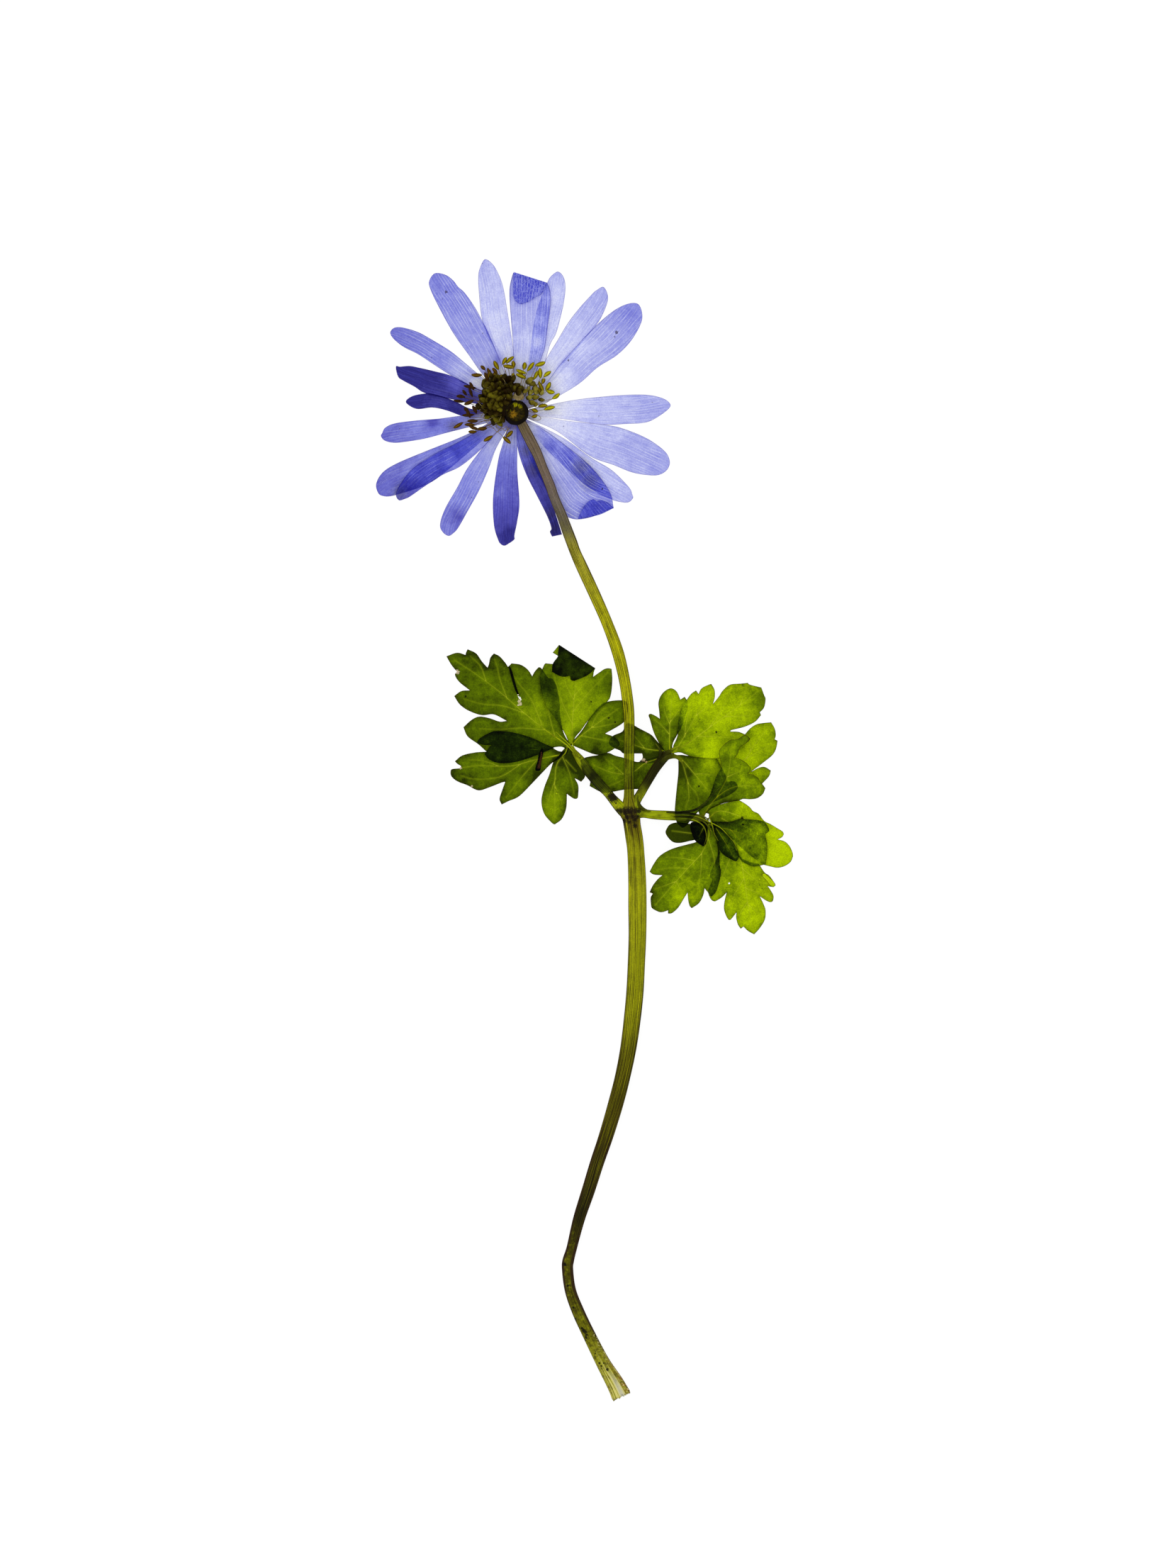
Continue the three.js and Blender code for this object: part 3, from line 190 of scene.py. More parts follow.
# Leaf segments: height in the stack, how many layers it is folded to, how bright its green is, its outline
# and its veins, the middle one first
LEFT_LEAF = [
    (0.0, 1, 0.3, "80.6,105.2* 79.5,103.3 79,100.5 79,99.3 78.6,97 78.2,96.1 77.8,95.6* 77.4,95.7"
     " 76.4,94.3 76,94.15* 75.5,94.7 75.1,95.4* 74.5,94.5 73.5,93.8 72.2,93.6* 71.7,94.1* 71.3,93.5"
     " 70.5,92.6 69.7,92.2* 69.2,92.8 69,93.7 68.8,94.2* 68,93.3 67.2,92.2 66,91.6* 65.8,92 65.7,92.4*"
     " 64.5,92.1 63,92.6* 63.7,93.8 64.5,94.8* 64.2,95.2 64.8,96.2 66.3,97.4* 65.1,97.5 64.1,98.2*"
     " 64.9,99.4 66.2,100.3 68,100.9 69.7,100.8 71.5,101.7* 70.5,101.8 69,101.3 67.6,101.1 66.5,101.6"
     " 65.4,102.6* 66,103.9 67.5,105 68.6,106* 74,105.8 77.8,105.5* 79.2,105.35 80.1,105.8*",
     "79.8,105 77,103 74,100.6 70.5,97.6 67,95 64.1,93.1;77,103 73.5,102.7 70.5,102.9 67.6,102.8;"
     "76.5,102.3 75,98.8 73.2,96.4 72.2,95;74,100.6 71,99.6 68,99.3 65.4,98.6;71.6,98.6 70.6,96 70.2,94.2"
     " 69.8,93;68.6,96.1 67.8,94 66.4,92.6;78.3,103.9 77.4,100.5 76.9,97.3 76.3,95.2"),
    (0.5, 1.6, 0.4, "67.3,104.7* 67.8,104.1 69.3,103.3 70.2,103.15 72.2,103.3 74.8,104 77,105 78.2,105.5*"
     " 76.8,106.1 74.5,107 72.2,107.6 70.2,107.6 69,107.1 68.4,106.4* 69,105.5 69.5,105.05* 68.5,105.1"
     " 67.4,104.9", "78.6,104.4 78.7,104.4"),
    (0.4, 1, 0.66, "80.3,104.9* 79.7,103.5 78.5,101.5 77.2,99.8 76.5,97.8 76.2,95.5 76.8,93.8 77,93.6*"
     " 78,93.7* 78.3,93.2 78.8,92.6* 78,92.1* 78.9,91* 84,94.3* 83.8,94.8 83.7,95.5* 84.7,94.8 85.3,94.4"
     " 85.9,94.3 86.3,94.4* 86.4,96 86.2,98 85.7,99 84,100.5 82.9,101.8 81.9,103.2* 81.2,104 80.7,105.2*",
     "80.7,104.7 80.8,101.5 81,98.8 81.3,96 81.6,93.5;80.8,102.2 79.5,99.5 78.6,97 78,94.4;80.9,100.4"
     " 82.6,98.2 84.3,96.4 85.7,94.9;81,98.8 80,97 79.6,95.6;81,98.2 82.2,96.8 83,95.8"),
    (0.75, 1, 0.25, "78.9,91* 84,94.3* 83.3,95 82.5,95.5 81,96.1* 80.5,95.9 80.5,95.3* 79.8,95.5 79,95.4"
     " 77.9,94.8* 78,93.7 78.7,92.7*", "82.4,91.2 82.5,91.2"),
    (0.15, 1, 0.36, "80.4,105* 82,103.2 83.6,100.8 85.2,99.2 87.5,98.8 88.5,99.2 88.5,100.8 87.9,102"
     " 85.4,103.5* 86.7,104 87.4,104.8 87.2,105.3 85.2,106.4 83.8,106.4 81.8,105.6*",
     "81,104.8 82,103.8 84.5,101.9 87.2,100;82,103.8 84,104.2 86.6,104.7;83.4,102.7 85.2,102.4 87,102;"
     "83.4,102.7 84.2,101 85.4,99.8"),
    (0.15, 1, 0.26, "80.4,105.4* 79.6,105.95 78.8,105.95 78,105.5* 76.5,105.75 68.6,106.05 66.8,106.2"
     " 65.2,106.6 64.2,107.4* 64.6,107.8 65.1,108.1 64.8,108.4* 63.8,108.5 63.6,108.8 63.7,109.5 64.5,110.2"
     " 66,110.8 67.5,111.5 69,111.1 70.8,110.4 71.3,110.3* 70.9,111.4 70.5,112.7 70.8,113.5* 71.8,113"
     " 73.3,112.3 75.3,110.3 77.5,108 78.2,107.45 79,107 80,106.4*",
     "79,106.5 75.5,107.2 72.5,108 70,108.1 67.5,108 65.2,108.3;73.5,107.8 70.5,109.6 67,109.9 65,109.4;"
     "75.8,107.2 73.5,109.8 71.4,112.5;70.5,108.1 68,107.3 66.2,107.2"),
    (0.3, 1, 0.5, "79.8,105.4* 78.6,106.9 78.1,107.45 77.5,109.3 76.8,111.1 76.4,113 76.8,114.8 77.9,116.1"
     " 78.3,116.3* 79.3,115.5 79.9,114 80,112* 80.7,112.5 81.1,112.7 81.5,112.6 81.6,112 81.6,110.8"
     " 81.1,109.8* 81.5,110 82,110.3* 82.55,109.6 82.4,108.8 81.8,107.8 81.2,106.9 80.6,105.8*",
     "79.8,106.2 78.6,107.8 78.3,110 78.3,112.5 78.3,115.4;79.4,106.8 80.4,109.2 81,111.9;78.4,109.8"
     " 77.5,112.5 77.1,114;78.3,110.8 79.2,113;79.8,107.2 81.3,108.8"),
    (0.62, 3, 0.1, "76.5,105.4* 76.65,106.3 76.35,107.6 76.25,108.65 75.6,108.75* 75.55,108.4 75.85,107.4"
     " 76.1,106.3", "75,104 75.1,104"),
    (0.2, 1.6, 0.2, "71.75,93.95* 72.1,94.3 72.45,95.3 72.85,96.8 73.3,98.15* 72.95,97.9 72.5,96.8"
     " 72.1,95.4", "70.5,93 70.6,93"),
]
UPPER_LEAF = [
    (0.0, 1, 0.02, "93.7,105.7* 92.5,104.3 91.8,103.6 90.3,102.8 89,102.1 88.3,102.2 87.8,103.2 86.5,103.8"
     " 85.9,104.7 86.4,105.4 87.5,105.9 88,106.3 89.5,106.3* 90.6,106.3* 90.7,106.8 90.5,107.2 90.2,107.4*"
     " 91.5,107.7 93.7,107.2*",
     "93.7,105.9 92.2,105.8 91,105.6 89.3,105 87.4,104.4;91,105.6 90,104.4 89,103.2"),
    (0.12, 1, 0.28, "93.7,106.5* 90.5,107.4 89.5,107.4 88,106.9 86.8,106.6 85.8,106.2 84.5,106.5"
     " 82.8,106.8 81.9,107.2* 82.2,108.8 83.3,110.3* 83.2,110.9* 85,111.8 86.5,111.7 88.2,111.4 90.5,111.3*"
     " 92,109.5 93.6,107.5*",
     "93.3,106.9 92,107.3 90.8,107.8 89.5,108.8 88,109.2 87,109.1 85.5,108.7 83.6,107.8;89.5,108.8"
     " 87.5,110.2 85.5,111;88,109.2 86.5,107.9 85.5,107.1"),
    (0.24, 1, 0.46, "94,106.4* 92.9,104.7 92.2,103.2 91.7,101.5 91.5,100.9 91.8,100.7 92.5,101 93.1,101.4*"
     " 93,100.3 92.9,99.2 93.15,98.3 93.8,97.5 94.7,97.1 95.5,97.6 96,98.7* 96.6,98.3* 97,98.9* 97,100"
     " 96.6,101.2 96.2,102.5 95.6,103.6 95,104.7 94.85,105.3* 94.9,106.3*",
     "94.5,106.2 94.45,104.5 94.5,102.5 94.8,98.2;94.45,103.6 93.4,102.4 92.3,101.5;94.5,102.2 93.8,100.4"
     " 93.6,98.9;94.5,102 95.6,100.4 96.5,99"),
    (0.45, 1, 0.76, "94.8,106.3* 95,105.15* 95.45,104.2 95.65,103.4 95.7,102 96,100.5 96.35,99.4 96.9,98.7"
     " 97.5,97.9 98.2,97.4* 98.55,97.9* 99,97.1 100,96.6 100.35,96.5* 100.8,97.3 100.85,98.3 100.6,99.3*"
     " 101.4,98.3 102,97.4 103,96.6 104.5,96.45 105.5,96.35* 105.8,96.6 107.4,97* 107.8,98.1 108,98.6"
     " 107.8,99.8 107.2,100.5* 107.35,100.9* 106.5,101.85 105,102.55 103.2,103 103.05,103.2* 104.2,103.25"
     " 105.1,103.6* 105.8,104.2 105.3,104.8 103.5,105.8 101.4,107 98,106.8 96.6,106.4 96.2,106.2"
     " 95.7,106.15*",
     "94.9,106.2 97.5,104.5 100,102.7 103.7,100 107,97.5;95.4,105.8 97.4,102.4 98.9,99.4 99.9,97.2;"
     "98.4,103.9 101,103.9 104.8,104.3;100,102.7 101.6,100.4 103,97.6;102.2,101.1 104.6,101 106.7,100.9;"
     "96.6,103.9 96.9,101.6 97.9,98.4;98.2,101 99.6,99.7 100.5,98.6;104.4,99.4 105,98 105.3,96.9"),
    (0.0, 1, 0.72, "100.8,106.8* 101.8,105.6 102.4,104.5 103,103.4* 105.1,103.6* 105.8,102.8 106.7,102.2"
     " 107.7,102 108.8,101.9* 109.3,102.8 109.45,103.7 109.3,104.3* 109.7,104.5* 109.5,105.6 109,106.5"
     " 107.8,107.5 106,108.85* 107.1,108.3 107.9,108.2 108.75,108.7* 108.5,109.5 107.5,110.6* 105.5,110.2"
     " 104,109.8 102.2,109 101.2,108*",
     "101,107 103.2,107.5 105,107.2 106.5,105 108.2,102.8;105,107.2 107.2,105.9 109.1,104.9;105.9,105.9"
     " 105.8,104.4;103.2,107.5 105.8,109.4 107.8,109.6"),
    (0.14, 1, 0.32, "94.7,106.45* 95.6,106.5 96.3,106.5 97,106.6 98.5,106.6 100.8,106.8 101.4,107.5"
     " 101.9,108.5 102.4,109.5 102.5,110.3* 103.5,110.2 104,110.7 104,111.3 102.8,112.2 101,113 99,114.1"
     " 97.8,115.3 96.9,116.4 96.3,116.8* 95.7,116.3 95.3,115.5 95.2,114.5 95.3,113 95.5,111 95.7,109"
     " 95.7,107.2*",
     "95.2,106.5 96,106.9 98,109.2 100.2,111.9;96.2,107.2 97.2,110.6 98.3,112 98.7,114;97,110 97.2,112.5"
     " 96.8,113.6 96.6,115.6;98,109.2 99.8,109.2 101.8,109.6"),
]
LOWER_LEAF = [
    (0.0, 1, 0.45, "98.5,114.4* 99.5,113.2 100.2,112 101,109.7 101.8,108.3* 101.6,107.2 101.4,106"
     " 102.1,105.1 103,104.4 104,104.3 105,103.7 105.8,104.2* 105.3,104.8 104.4,105.4 104,106.4"
     " 103.6,106.9* 104.6,107.2 105.4,107.8 105.9,108.5 105.5,109.2* 106.2,109.3 106.9,109.7 107.2,110.3"
     " 107.6,110.7 107.95,111.2* 107.6,112 106.8,112.6 105.8,112.75 104.8,112.7 104.3,112.9 103,113.1"
     " 101.5,113.5 99.8,114.5 99,116*",
     "99.2,115 101,112.6 103.6,111 106.9,110.9;101,112.6 102.6,109.6 103,107 103.2,105;102.6,109.6"
     " 104.8,108.6"),
    (0.14, 1, 0.85, "99.6,114.7* 100.2,114.1 101.5,113.5 103,113.1 104.3,112.9* 105,113.3 105.8,113.9"
     " 106.2,114.4 107,114.8 107.8,115.8 108.6,116.2 109.6,116.8 110.4,117.3 110.55,117.7* 110.3,118.1"
     " 109.7,118.4* 110.7,118.7 111.4,119.4 111.8,120.3 111.85,120.8* 111.5,121.6 110.6,122.2 109.6,122.4"
     " 108.6,122.2 107.6,121.95* 106,120.8 104.5,119.5 102.3,117.3 100.7,116.6 100.25,115.6 99.95,114.8*",
     "99.8,115.6 101.4,114.4 104,115 107,116.4 110,117.4;101.8,115.4 105.2,117.4 108.6,119.6 111.2,120.8;"
     "103.6,118 106.8,120.6 109.4,121.9"),
    (0.5, 1, 0.66, "99.6,115.9* 101.5,115.9 103,115.9 104,115.6 104.6,115.4* 104.9,115.5 105.8,115.6"
     " 107,115.7 107.9,116 108.4,116.8 108.5,117.2* 107.9,117.7* 108.2,119 108.2,120.5 108,121.9*"
     " 107.2,122.1 106.2,122.2 105.2,121.8 104.5,121.3 104.2,120.8* 103.9,119.7 103.1,118.3 101.8,117.1"
     " 100.2,116.8*",
     "99.9,116.2 102,117.2 103,118.2 104,120;102,116.8 104.8,117.6 107.2,118.4;103,117 105.2,119.4"
     " 106.8,121.2"),
    (0.28, 1, 0.7, "99.9,116.3* 100.9,118 101.2,119.3 101.3,120 101.1,121 100.8,121.8 100.3,122.8"
     " 100.1,123.9* 100.6,123.85* 100.3,124.6 99.9,125.6 100.1,126.5 100.5,127.05 100.9,127.15* 101.8,126.6"
     " 102.5,125.9* 102.2,127.2 102.15,128.3 102.5,129.3 102.8,129.75* 103.1,129.7 103.9,128.7*"
     " 103.85,129.4 104.1,130.4 104.5,131* 104.9,130.7* 105.5,131.3 106.4,131.8* 107.2,130.9 107.9,129.7"
     " 108,128.4 107.7,127.5 107.2,126.45* 108.2,127.1 108.8,127.25 109.05,127 109.1,126.3 108.6,125.4"
     " 108.3,125* 109,125.1 109.35,124.9 109.1,124.3 108.5,123.5 107.9,123.1 107.4,122.4 107.1,121.9*"
     " 105.5,121.5 104.2,120.6 103,118.5 101,116.1*",
     "100.5,116.6 102.6,119 104.3,121 105,124 105.5,127.5 106.2,131.2;104.6,122.4 106.8,124.2 108.9,124.8;"
     "104.9,124 103.4,126.6 102.8,129;105.1,125.2 107,126 108.8,126.7;103.4,120 102.2,123 100.9,126.3;"
     "105.4,127.3 104.4,129 104.5,130.6;105.5,127.6 106.8,128.6 107.6,129.2"),
    (0.42, 1, 0.5, "99.6,116* 99.3,117.8 98.3,118.7 97,119.1 95.5,119.5 94.2,120 93,120.8 92.2,121.9"
     " 91.65,122.95* 92.2,123.35 93.45,123.45* 92.8,124 92.1,124.9 91.65,125.85* 92.1,126.05* 91.8,126.6"
     " 91.85,127.6 92,128.1 92.9,128.6 93.5,128.65 94.25,128.4* 94.25,128.85* 94.8,128.8 95.7,128"
     " 96.5,126.7 97,125.9* 97.1,127 97.3,127.8 97.6,128.1* 98.6,127.4 99.2,126.3 99.4,125.3* 99.8,125.8"
     " 100.3,126.5* 101,125.8 101.5,124.2 101.7,123 101.5,121.8 101.5,120.5 101.35,119.5 101,118"
     " 100.7,116.2*",
     "100.1,116.4 99.9,118.2 99,120.3 97,122.5 94.5,125.3 92.4,127.7;99,120.3 98.8,123.4 98.2,126.6;"
     "97,122.5 94.8,122.4 92.8,122.7;98,121.4 96,121 94,120.9;95.4,124.3 96.2,126;95.4,124.3 93.8,124.9"
     " 92.4,125.4;99.9,118.2 100.8,121.5 100.6,124.8"),
    (0.0, 1, -0.08, "99.6,115.6* 99,116 97.5,116.2 96.5,116.1 95.5,116 94.5,116.3 94,117 93.9,117.5"
     " 94.3,118.2 95,118.8 96,118.9 97.2,118.65 98.1,118.45 99.2,117.9 99.9,117*",
     "99.5,116.6 98,117.5 94.8,117.2"),
    (0.56, 1.65, 0.3, "99.6,115.9* 98.5,115.9 97.5,116 97.4,116.8 97.6,117.6 98,118.5 98.5,118.95"
     " 99.2,119.4* 99.6,119 99.7,118.2 99.8,117.1*", "99.3,116.6 98.6,118"),
    (0.7, 1.6, 0.6, "100.3,116.3* 100.9,117.3 101.2,118.3 101.4,119.4 101.7,120.2 102.4,120.8 103.3,121.3"
     " 103.8,121.5 104.1,121.2 104.2,120.7 103.9,119.6 103.3,118.5 102.5,117.6 101.7,116.9*",
     "101,116.8 102.4,119 103.6,121"),
    (0.42, 1, 1.15, "107.35,123.35* 107.9,123.2 108.5,123.75 109.1,124.3 109.4,124.85 109.05,125.15*"
     " 108.5,124.75 108.1,124.2 107.7,123.8", "107.7,123.6 109,124.8"),
]
# Brighter and darker areas of the leaves: sheet x, sheet y, radius and how much
LEAF_AREAS = (
    "94,103.5,2.2,-.2 94,98.8,1.8,.2 90.3,110,2,-.02 97,108.5,1.8,-.22 102.5,114.4,2.4,-.3"
    " 103,123.5,2.5,-.12 92.8,127,2.5,-.46 92.4,122.4,2,-.15 105.5,107,2,.17 109,120.6,2.3,.22"
    " 106.3,129.5,2,.08 103.3,111.2,1.5,-.2 81.3,108.2,1,-.35 66,94.5,2.5,-.22 78,110.6,.9,-.25"
    " 75.9,109.4,.8,-.35 75,101,2.5,.14 84.7,96.5,1.5,-.16 77.3,97.3,1.3,-.42 78.8,109,1.5,-.4"
    " 78.4,113.5,1.6,.12 71,93.6,1.6,-.12 67,97.3,1.6,.14 81.5,99.5,2,.06 99.3,98.5,2,.06"
    " 107.2,103.4,1.5,-.1 76.2,99.3,1.8,.4 77.2,95.4,1.2,-.2 80.2,107.4,1.5,-.55 80.9,111.8,1.2,-.35"
    " 72.6,110.8,1.3,.2 97.3,100.3,1.3,.14 91.1,104.2,1.7,.58 100.3,107.4,1.7,.6 98.8,110.3,1.4,.32"
    " 106.9,117.2,1.3,.35 106,121,1.2,-.2 96,126.6,1.5,.5 107,98.2,1.4,-.45 103,117,2,.1 95.5,99.6,1.3,.12"
    " 99.2,112.4,1,.04 100.9,123.5,.9,.14 106,119,1.2,.08 78.8,94.3,.9,-.3 79.6,106.8,1.1,-.6"
    " 81.6,107.8,1,-.65 78.6,107.4,1,-.4 84.2,106,1.1,-.5 80.4,114,1.1,-.45 82,109.6,.9,-.5"
    " 75.6,110.6,.8,-.35 86.3,96.5,1,-.3 81.2,103.4,.7,-.5 80,103,.6,.4 101,115.4,1,-.4 105,113,1.1,.3"
    " 98,114,1.2,.25 102.4,107.2,1,-.35 95.4,96.8,1.2,.2 107.2,121.4,1.1,.08 96.6,103.6,.9,-.3"
    " 98.4,105,.9,-.2 100.4,105,1.1,.4 97.3,124.5,1.3,.13 107,129.6,1,.15 94,127.7,.9,.15 77.8,96,1,-.2"
    " 78,98.3,.9,-.25 78.6,100.6,.7,-.1")
# Pale scars, black dots, holes and the dark splinter of the leaves: sheet x, sheet y and radius
LEAF_SCARS = ("64.5,94.8,.34 73.3,98.95,.26 73.45,99.3,.24 73.15,99.5,.14 65,108.35,.2 66.6,110.9,.14"
              " 90.8,107.2,.26 91.2,107.5,.16")
LEAF_DOTS = ("101.05,103.3,.16 98.6,110.9,.16 104.8,116.3,.14 85.9,101.3,.16 86.8,101.9,.14 104.7,115.35,.2"
             " 83.4,99,.13 65.7,98.25,.16")
LEAF_HOLES = ("73.12,98.05,.08 73.22,98.3,.12 73.34,98.5,.14 73.5,98.7,.1 102.85,124.6,.13 95.75,106.35,.12"
              " 96.1,106.38,.12")
LEAF_SPLINTER = ("76.42,106.2,.14 76.42,106.45,.17 76.4,106.7,.2 76.36,106.95,.22 76.3,107.2,.24"
                 " 76.25,107.45,.26 76.2,107.7,.28 76.12,107.95,.28 76.05,108.2,.26")
# Segments that hardly darken where they lie on these others
CLEAR_OVER = {"upper3": ("upper4", "upper5", "lower0"), "upper4": ("upper3", "upper5", "lower0"),
              "upper5": ("upper3", "upper4"), "lower0": ("upper3", "upper4"), "lower7": ("upper5",),
              "lower8": ("lower3",), "lower1": ("lower7",)}

# Stalks and the stem: sheet x, sheet y, width, the height of the underside and, in a stalk, how dark it is
LEFT_STALK = (
    "88.9,115.6,.9,.5,.6 88.2,114.6,1.7,.4,.5 87.4,113.75,1.65,.6,-.3 86.3,112.5,1.35,1,0"
    " 85.6,111.6,1.4,1.1,.25 84.8,110.8,1.5,1.15,.6 83.2,109,1.5,1.15,.6 82.3,107.8,1.4,1.1,.3"
    " 81.7,107,1.3,1,.05 80.75,105.9,.95,.85,0 80.2,105.1,.6,.85,0")
UPPER_STALK = (
    "89,115.3,.9,.5,.5 89.4,114,1.5,.5,.3 89.85,112.9,1.35,.42,.15 90.5,111.8,1.3,.3,.4"
    " 91.2,110.6,1.3,.2,.95 92.4,108.6,1.35,.2,1 93.35,107.3,1.4,.22,1 94.05,106.55,1.3,.3,1"
    " 94.6,105.95,.7,.42,.7")
LOWER_STALK = (
    "89.2,114.8,.9,.5,.6 89.9,114.7,1.7,.4,.4 90.8,114.75,1.3,.5,.1 92,114.93,1.3,.8,0"
    " 94,115.05,1.4,1.18,0 96,115.15,1.35,1.25,.1 98,115.35,1.25,1.3,.4 99.4,116,1,1.4,.5"
    " 100.2,117.2,.5,1.55,.5")
STEM = (
    "72.9,58.6,1.3,1.6 73.7,60,1.4,1.6 74.85,62.25,1.55,1.5 75.75,64,1.45,1.5 76.6,66.1,1.35,1.5"
    " 77.6,68.5,1.4,1.5 78.3,70.5,1.4,1.5 79.2,72.6,1.45,1.5 79.9,74.5,1.55,1.45 80.65,76.5,1.6,1.3"
    " 81.2,78,1.55,1.15 82.1,80,1.65,.8 83.95,84,1.65,.3 85.7,88,1.6,.1 87.15,92,1.7,.4 88.1,96,1.6,1.4"
    " 88.6,99.5,1.6,2.2 88.75,102,1.52,2.2 88.75,105,1.5,1.7 88.75,108,1.45,1.2 88.75,111,1.42,1"
    " 88.75,112.6,1.6,.6 88.8,113.5,2.3,.2 88.8,114.4,3,0 89.05,115.4,2.6,0 89.2,116.5,2.45,0"
    " 89.45,118,2.5,0 89.7,120,2.45,0 89.9,124,2.55,0 89.95,128,2.6,0 89.95,132,2.5,0 89.8,136,2.45,0"
    " 89.6,140,2.45,0 89.2,144,2.4,0 88.65,148,2.3,0 87.85,152,2.2,0 86.8,156,2.2,0 85.6,160,2.1,0"
    " 84.25,164,2,0 83,168,1.9,0 81.7,172,1.7,0 80.7,176,1.5,0 80.2,177.8,1.65,0 80.1,179,1.6,0"
    " 80.5,182,1.6,0 81.6,185,1.75,0 83,188,1.8,0 85,192,2,0 86.75,195,2.5,0 87.75,197,2.8,0")
# Strands that part from the end of a stalk: sheet x, sheet y, width, height and how dark
LEFT_STRANDS = [
    "81.2,106.6,.2,2,0 80.6,105.75,.2,1.95,0 79.7,104.9,.18,1.7,0 78.3,103.9,.12,1.55,0 77,103,.08,1.45,0",
    "81.5,106.7,.2,2,0 80.95,105.8,.18,1.95,0 80.2,104.9,.16,1.75,0 79.4,104.15,.12,1.6,0"
    " 78.4,103.2,.06,1.5,0",
    "81.8,106.8,.2,2,0 81.1,105.7,.2,1.95,0 80.75,104.9,.16,1.9,0 80.7,103.6,.1,1.9,0",
    "81.9,107,.2,1.95,.6 81.2,106,.2,1.9,.6 80.7,105.3,.15,1.85,.5"]
UPPER_STRANDS = [
    "93.2,107.7,.5,.85,1 93.8,107,.8,.9,.9 94.6,106.7,.75,.95,.8 95.4,106.8,.5,.95,.7 96,107.3,.3,.95,.6"
    " 96.5,108.1,.12,.9,.5", "93,107,.4,.8,1 93.2,106.3,.5,.85,1 93,105.6,.3,.85,.9 92.5,104.9,.12,.8,.7",
    "93.6,106.9,.5,.95,1 94.3,106.2,.5,1,.9 95,105.6,.3,1,.4 95.9,105.2,.12,1,.1"]
LOWER_STRANDS = [
    "94,114.6,.2,2.2,.9 96,114.55,.26,2.35,.9 97.8,114.3,.34,2.5,.8 99,113.65,.34,2.6,.7"
    " 99.9,112.8,.24,2.65,.6 100.7,111.9,.14,2.7,.5 101.5,111.1,.06,2.75,.3",
    "94.5,114.95,.2,2.2,.2 96.5,114.95,.2,2.4,.3 98.2,115.15,.2,2.6,.4 99.4,115.65,.17,2.75,.4"
    " 100.4,116.1,.14,2.8,.3 101.6,116.75,.12,2.8,.3 102.6,117.75,.09,2.75,.2 103.5,118.8,.07,2.7,.2"
    " 103.95,120,.05,2.6,.2",
    "94.5,115.4,.2,2.2,.2 96.5,115.45,.2,2.4,.3 98,115.7,.18,2.6,.3 99.1,116.4,.15,2.75,.4"
    " 99.55,117.3,.12,2.75,.5 99.6,118.2,.08,2.7,.6 99.3,119.2,.05,2.6,.7",
    "100,115,.12,2.5,.2 100.2,115.7,.15,2.75,.2 100.5,116.6,.14,2.8,.2 100.75,117.6,.1,2.75,.3"
    " 101.3,118.6,.05,2.6,.4",
    "95,114.8,.2,2.3,.8 97,114.78,.22,2.45,.8 98.5,114.95,.22,2.6,.8 99.4,115.25,.18,2.7,.8"
    " 100.1,115.75,.14,2.75,.8",
    "95,115.2,.16,2.3,.8 97,115.25,.2,2.45,.8 98.6,115.6,.22,2.65,.8 99.6,116.2,.2,2.75,.8"
    " 100.1,117.1,.16,2.75,.8 100.2,118,.1,2.7,.8",
    "90,112.2,.2,1,.7 90,113.1,.5,1,.8 90.35,113.8,.55,1.1,.9 91,114.25,.4,1.2,.8 91.8,114.45,.16,1.4,.6"]
# Each leaf's segments, stalk and strands, the node that it replaces and its slot
LEAVES = {"left": (LEFT_LEAF, LEFT_STALK, LEFT_STRANDS, "leaf_left", "leaf_dark"),
          "upper": (UPPER_LEAF, UPPER_STALK, UPPER_STRANDS, "leaf_upper_right", "leaf_light"),
          "lower": (LOWER_LEAF, LOWER_STALK, LOWER_STRANDS, "leaf_lower_right", "leaf_light")}
# Lighter and black places of the stalks, the black band at the node and black blots of the stem: sheet x,
# sheet y and radius
STALK_LIGHTS = "87.4,113.9,.5 86.9,113.5,.5 86.6,113,.3"
STALK_BLOTS = "86.5,112.4,.8 86.9,113.3,.14"
NODE_BAND = (
    "87.2,114.35,.4 87.6,114.4,.62 88.1,114.4,.7 88.6,114.35,.72 89.1,114.35,.72 89.6,114.4,.66"
    " 90.1,114.4,.5 88.45,115.3,.55 88.1,115.75,.45 89.3,115.2,.5 89.6,115.6,.45 89.95,115.2,.4"
    " 89.6,116.5,.4 88.8,116,.3 87.9,116.4,.3")
STEM_BLOTS = ("81.1,186.1,.22 82.1,187.35,.22 82.35,187.6,.26 82.6,187.85,.26 82.72,188.2,.22 82.7,188.6,.2"
              " 82.6,189,.14 84.6,192.2,.18 84.85,192.6,.16 85.7,193.1,.22 79.7,178.3,.26 80.9,184.4,.18"
              " 80.1,181.3,.2 89,181,.1 79.3,181.3,.14 84,190.9,.12 85.2,192.2,.12")
# The stem's colour along its length, as the sheet's y and three screen values, and where its long grooves lie
STEM_COLOURS = [
    (58, 108, 92, 66), (67, 124, 106, 96), (71, 102, 92, 86), (75, 104, 98, 66), (77.5, 170, 160, 56),
    (86, 182, 178, 18), (92, 180, 178, 6), (101, 166, 170, 2), (109, 128, 146, 2), (113, 120, 118, 10),
    (116.2, 108, 104, 8), (119, 138, 140, 8), (126, 154, 158, 12), (142, 134, 136, 4), (149, 77, 73, 2),
    (158, 56, 50, 2), (163, 32, 25, 6), (172, 14, 9, 6), (175.5, 44, 38, 4), (178, 84, 82, 4),
    (181, 62, 57, 6), (185, 82, 80, 6), (188, 108, 106, 10), (192, 152, 150, 34), (198, 176, 168, 70)]
STEM_GROOVES = (0.6, 0.17, -0.51)
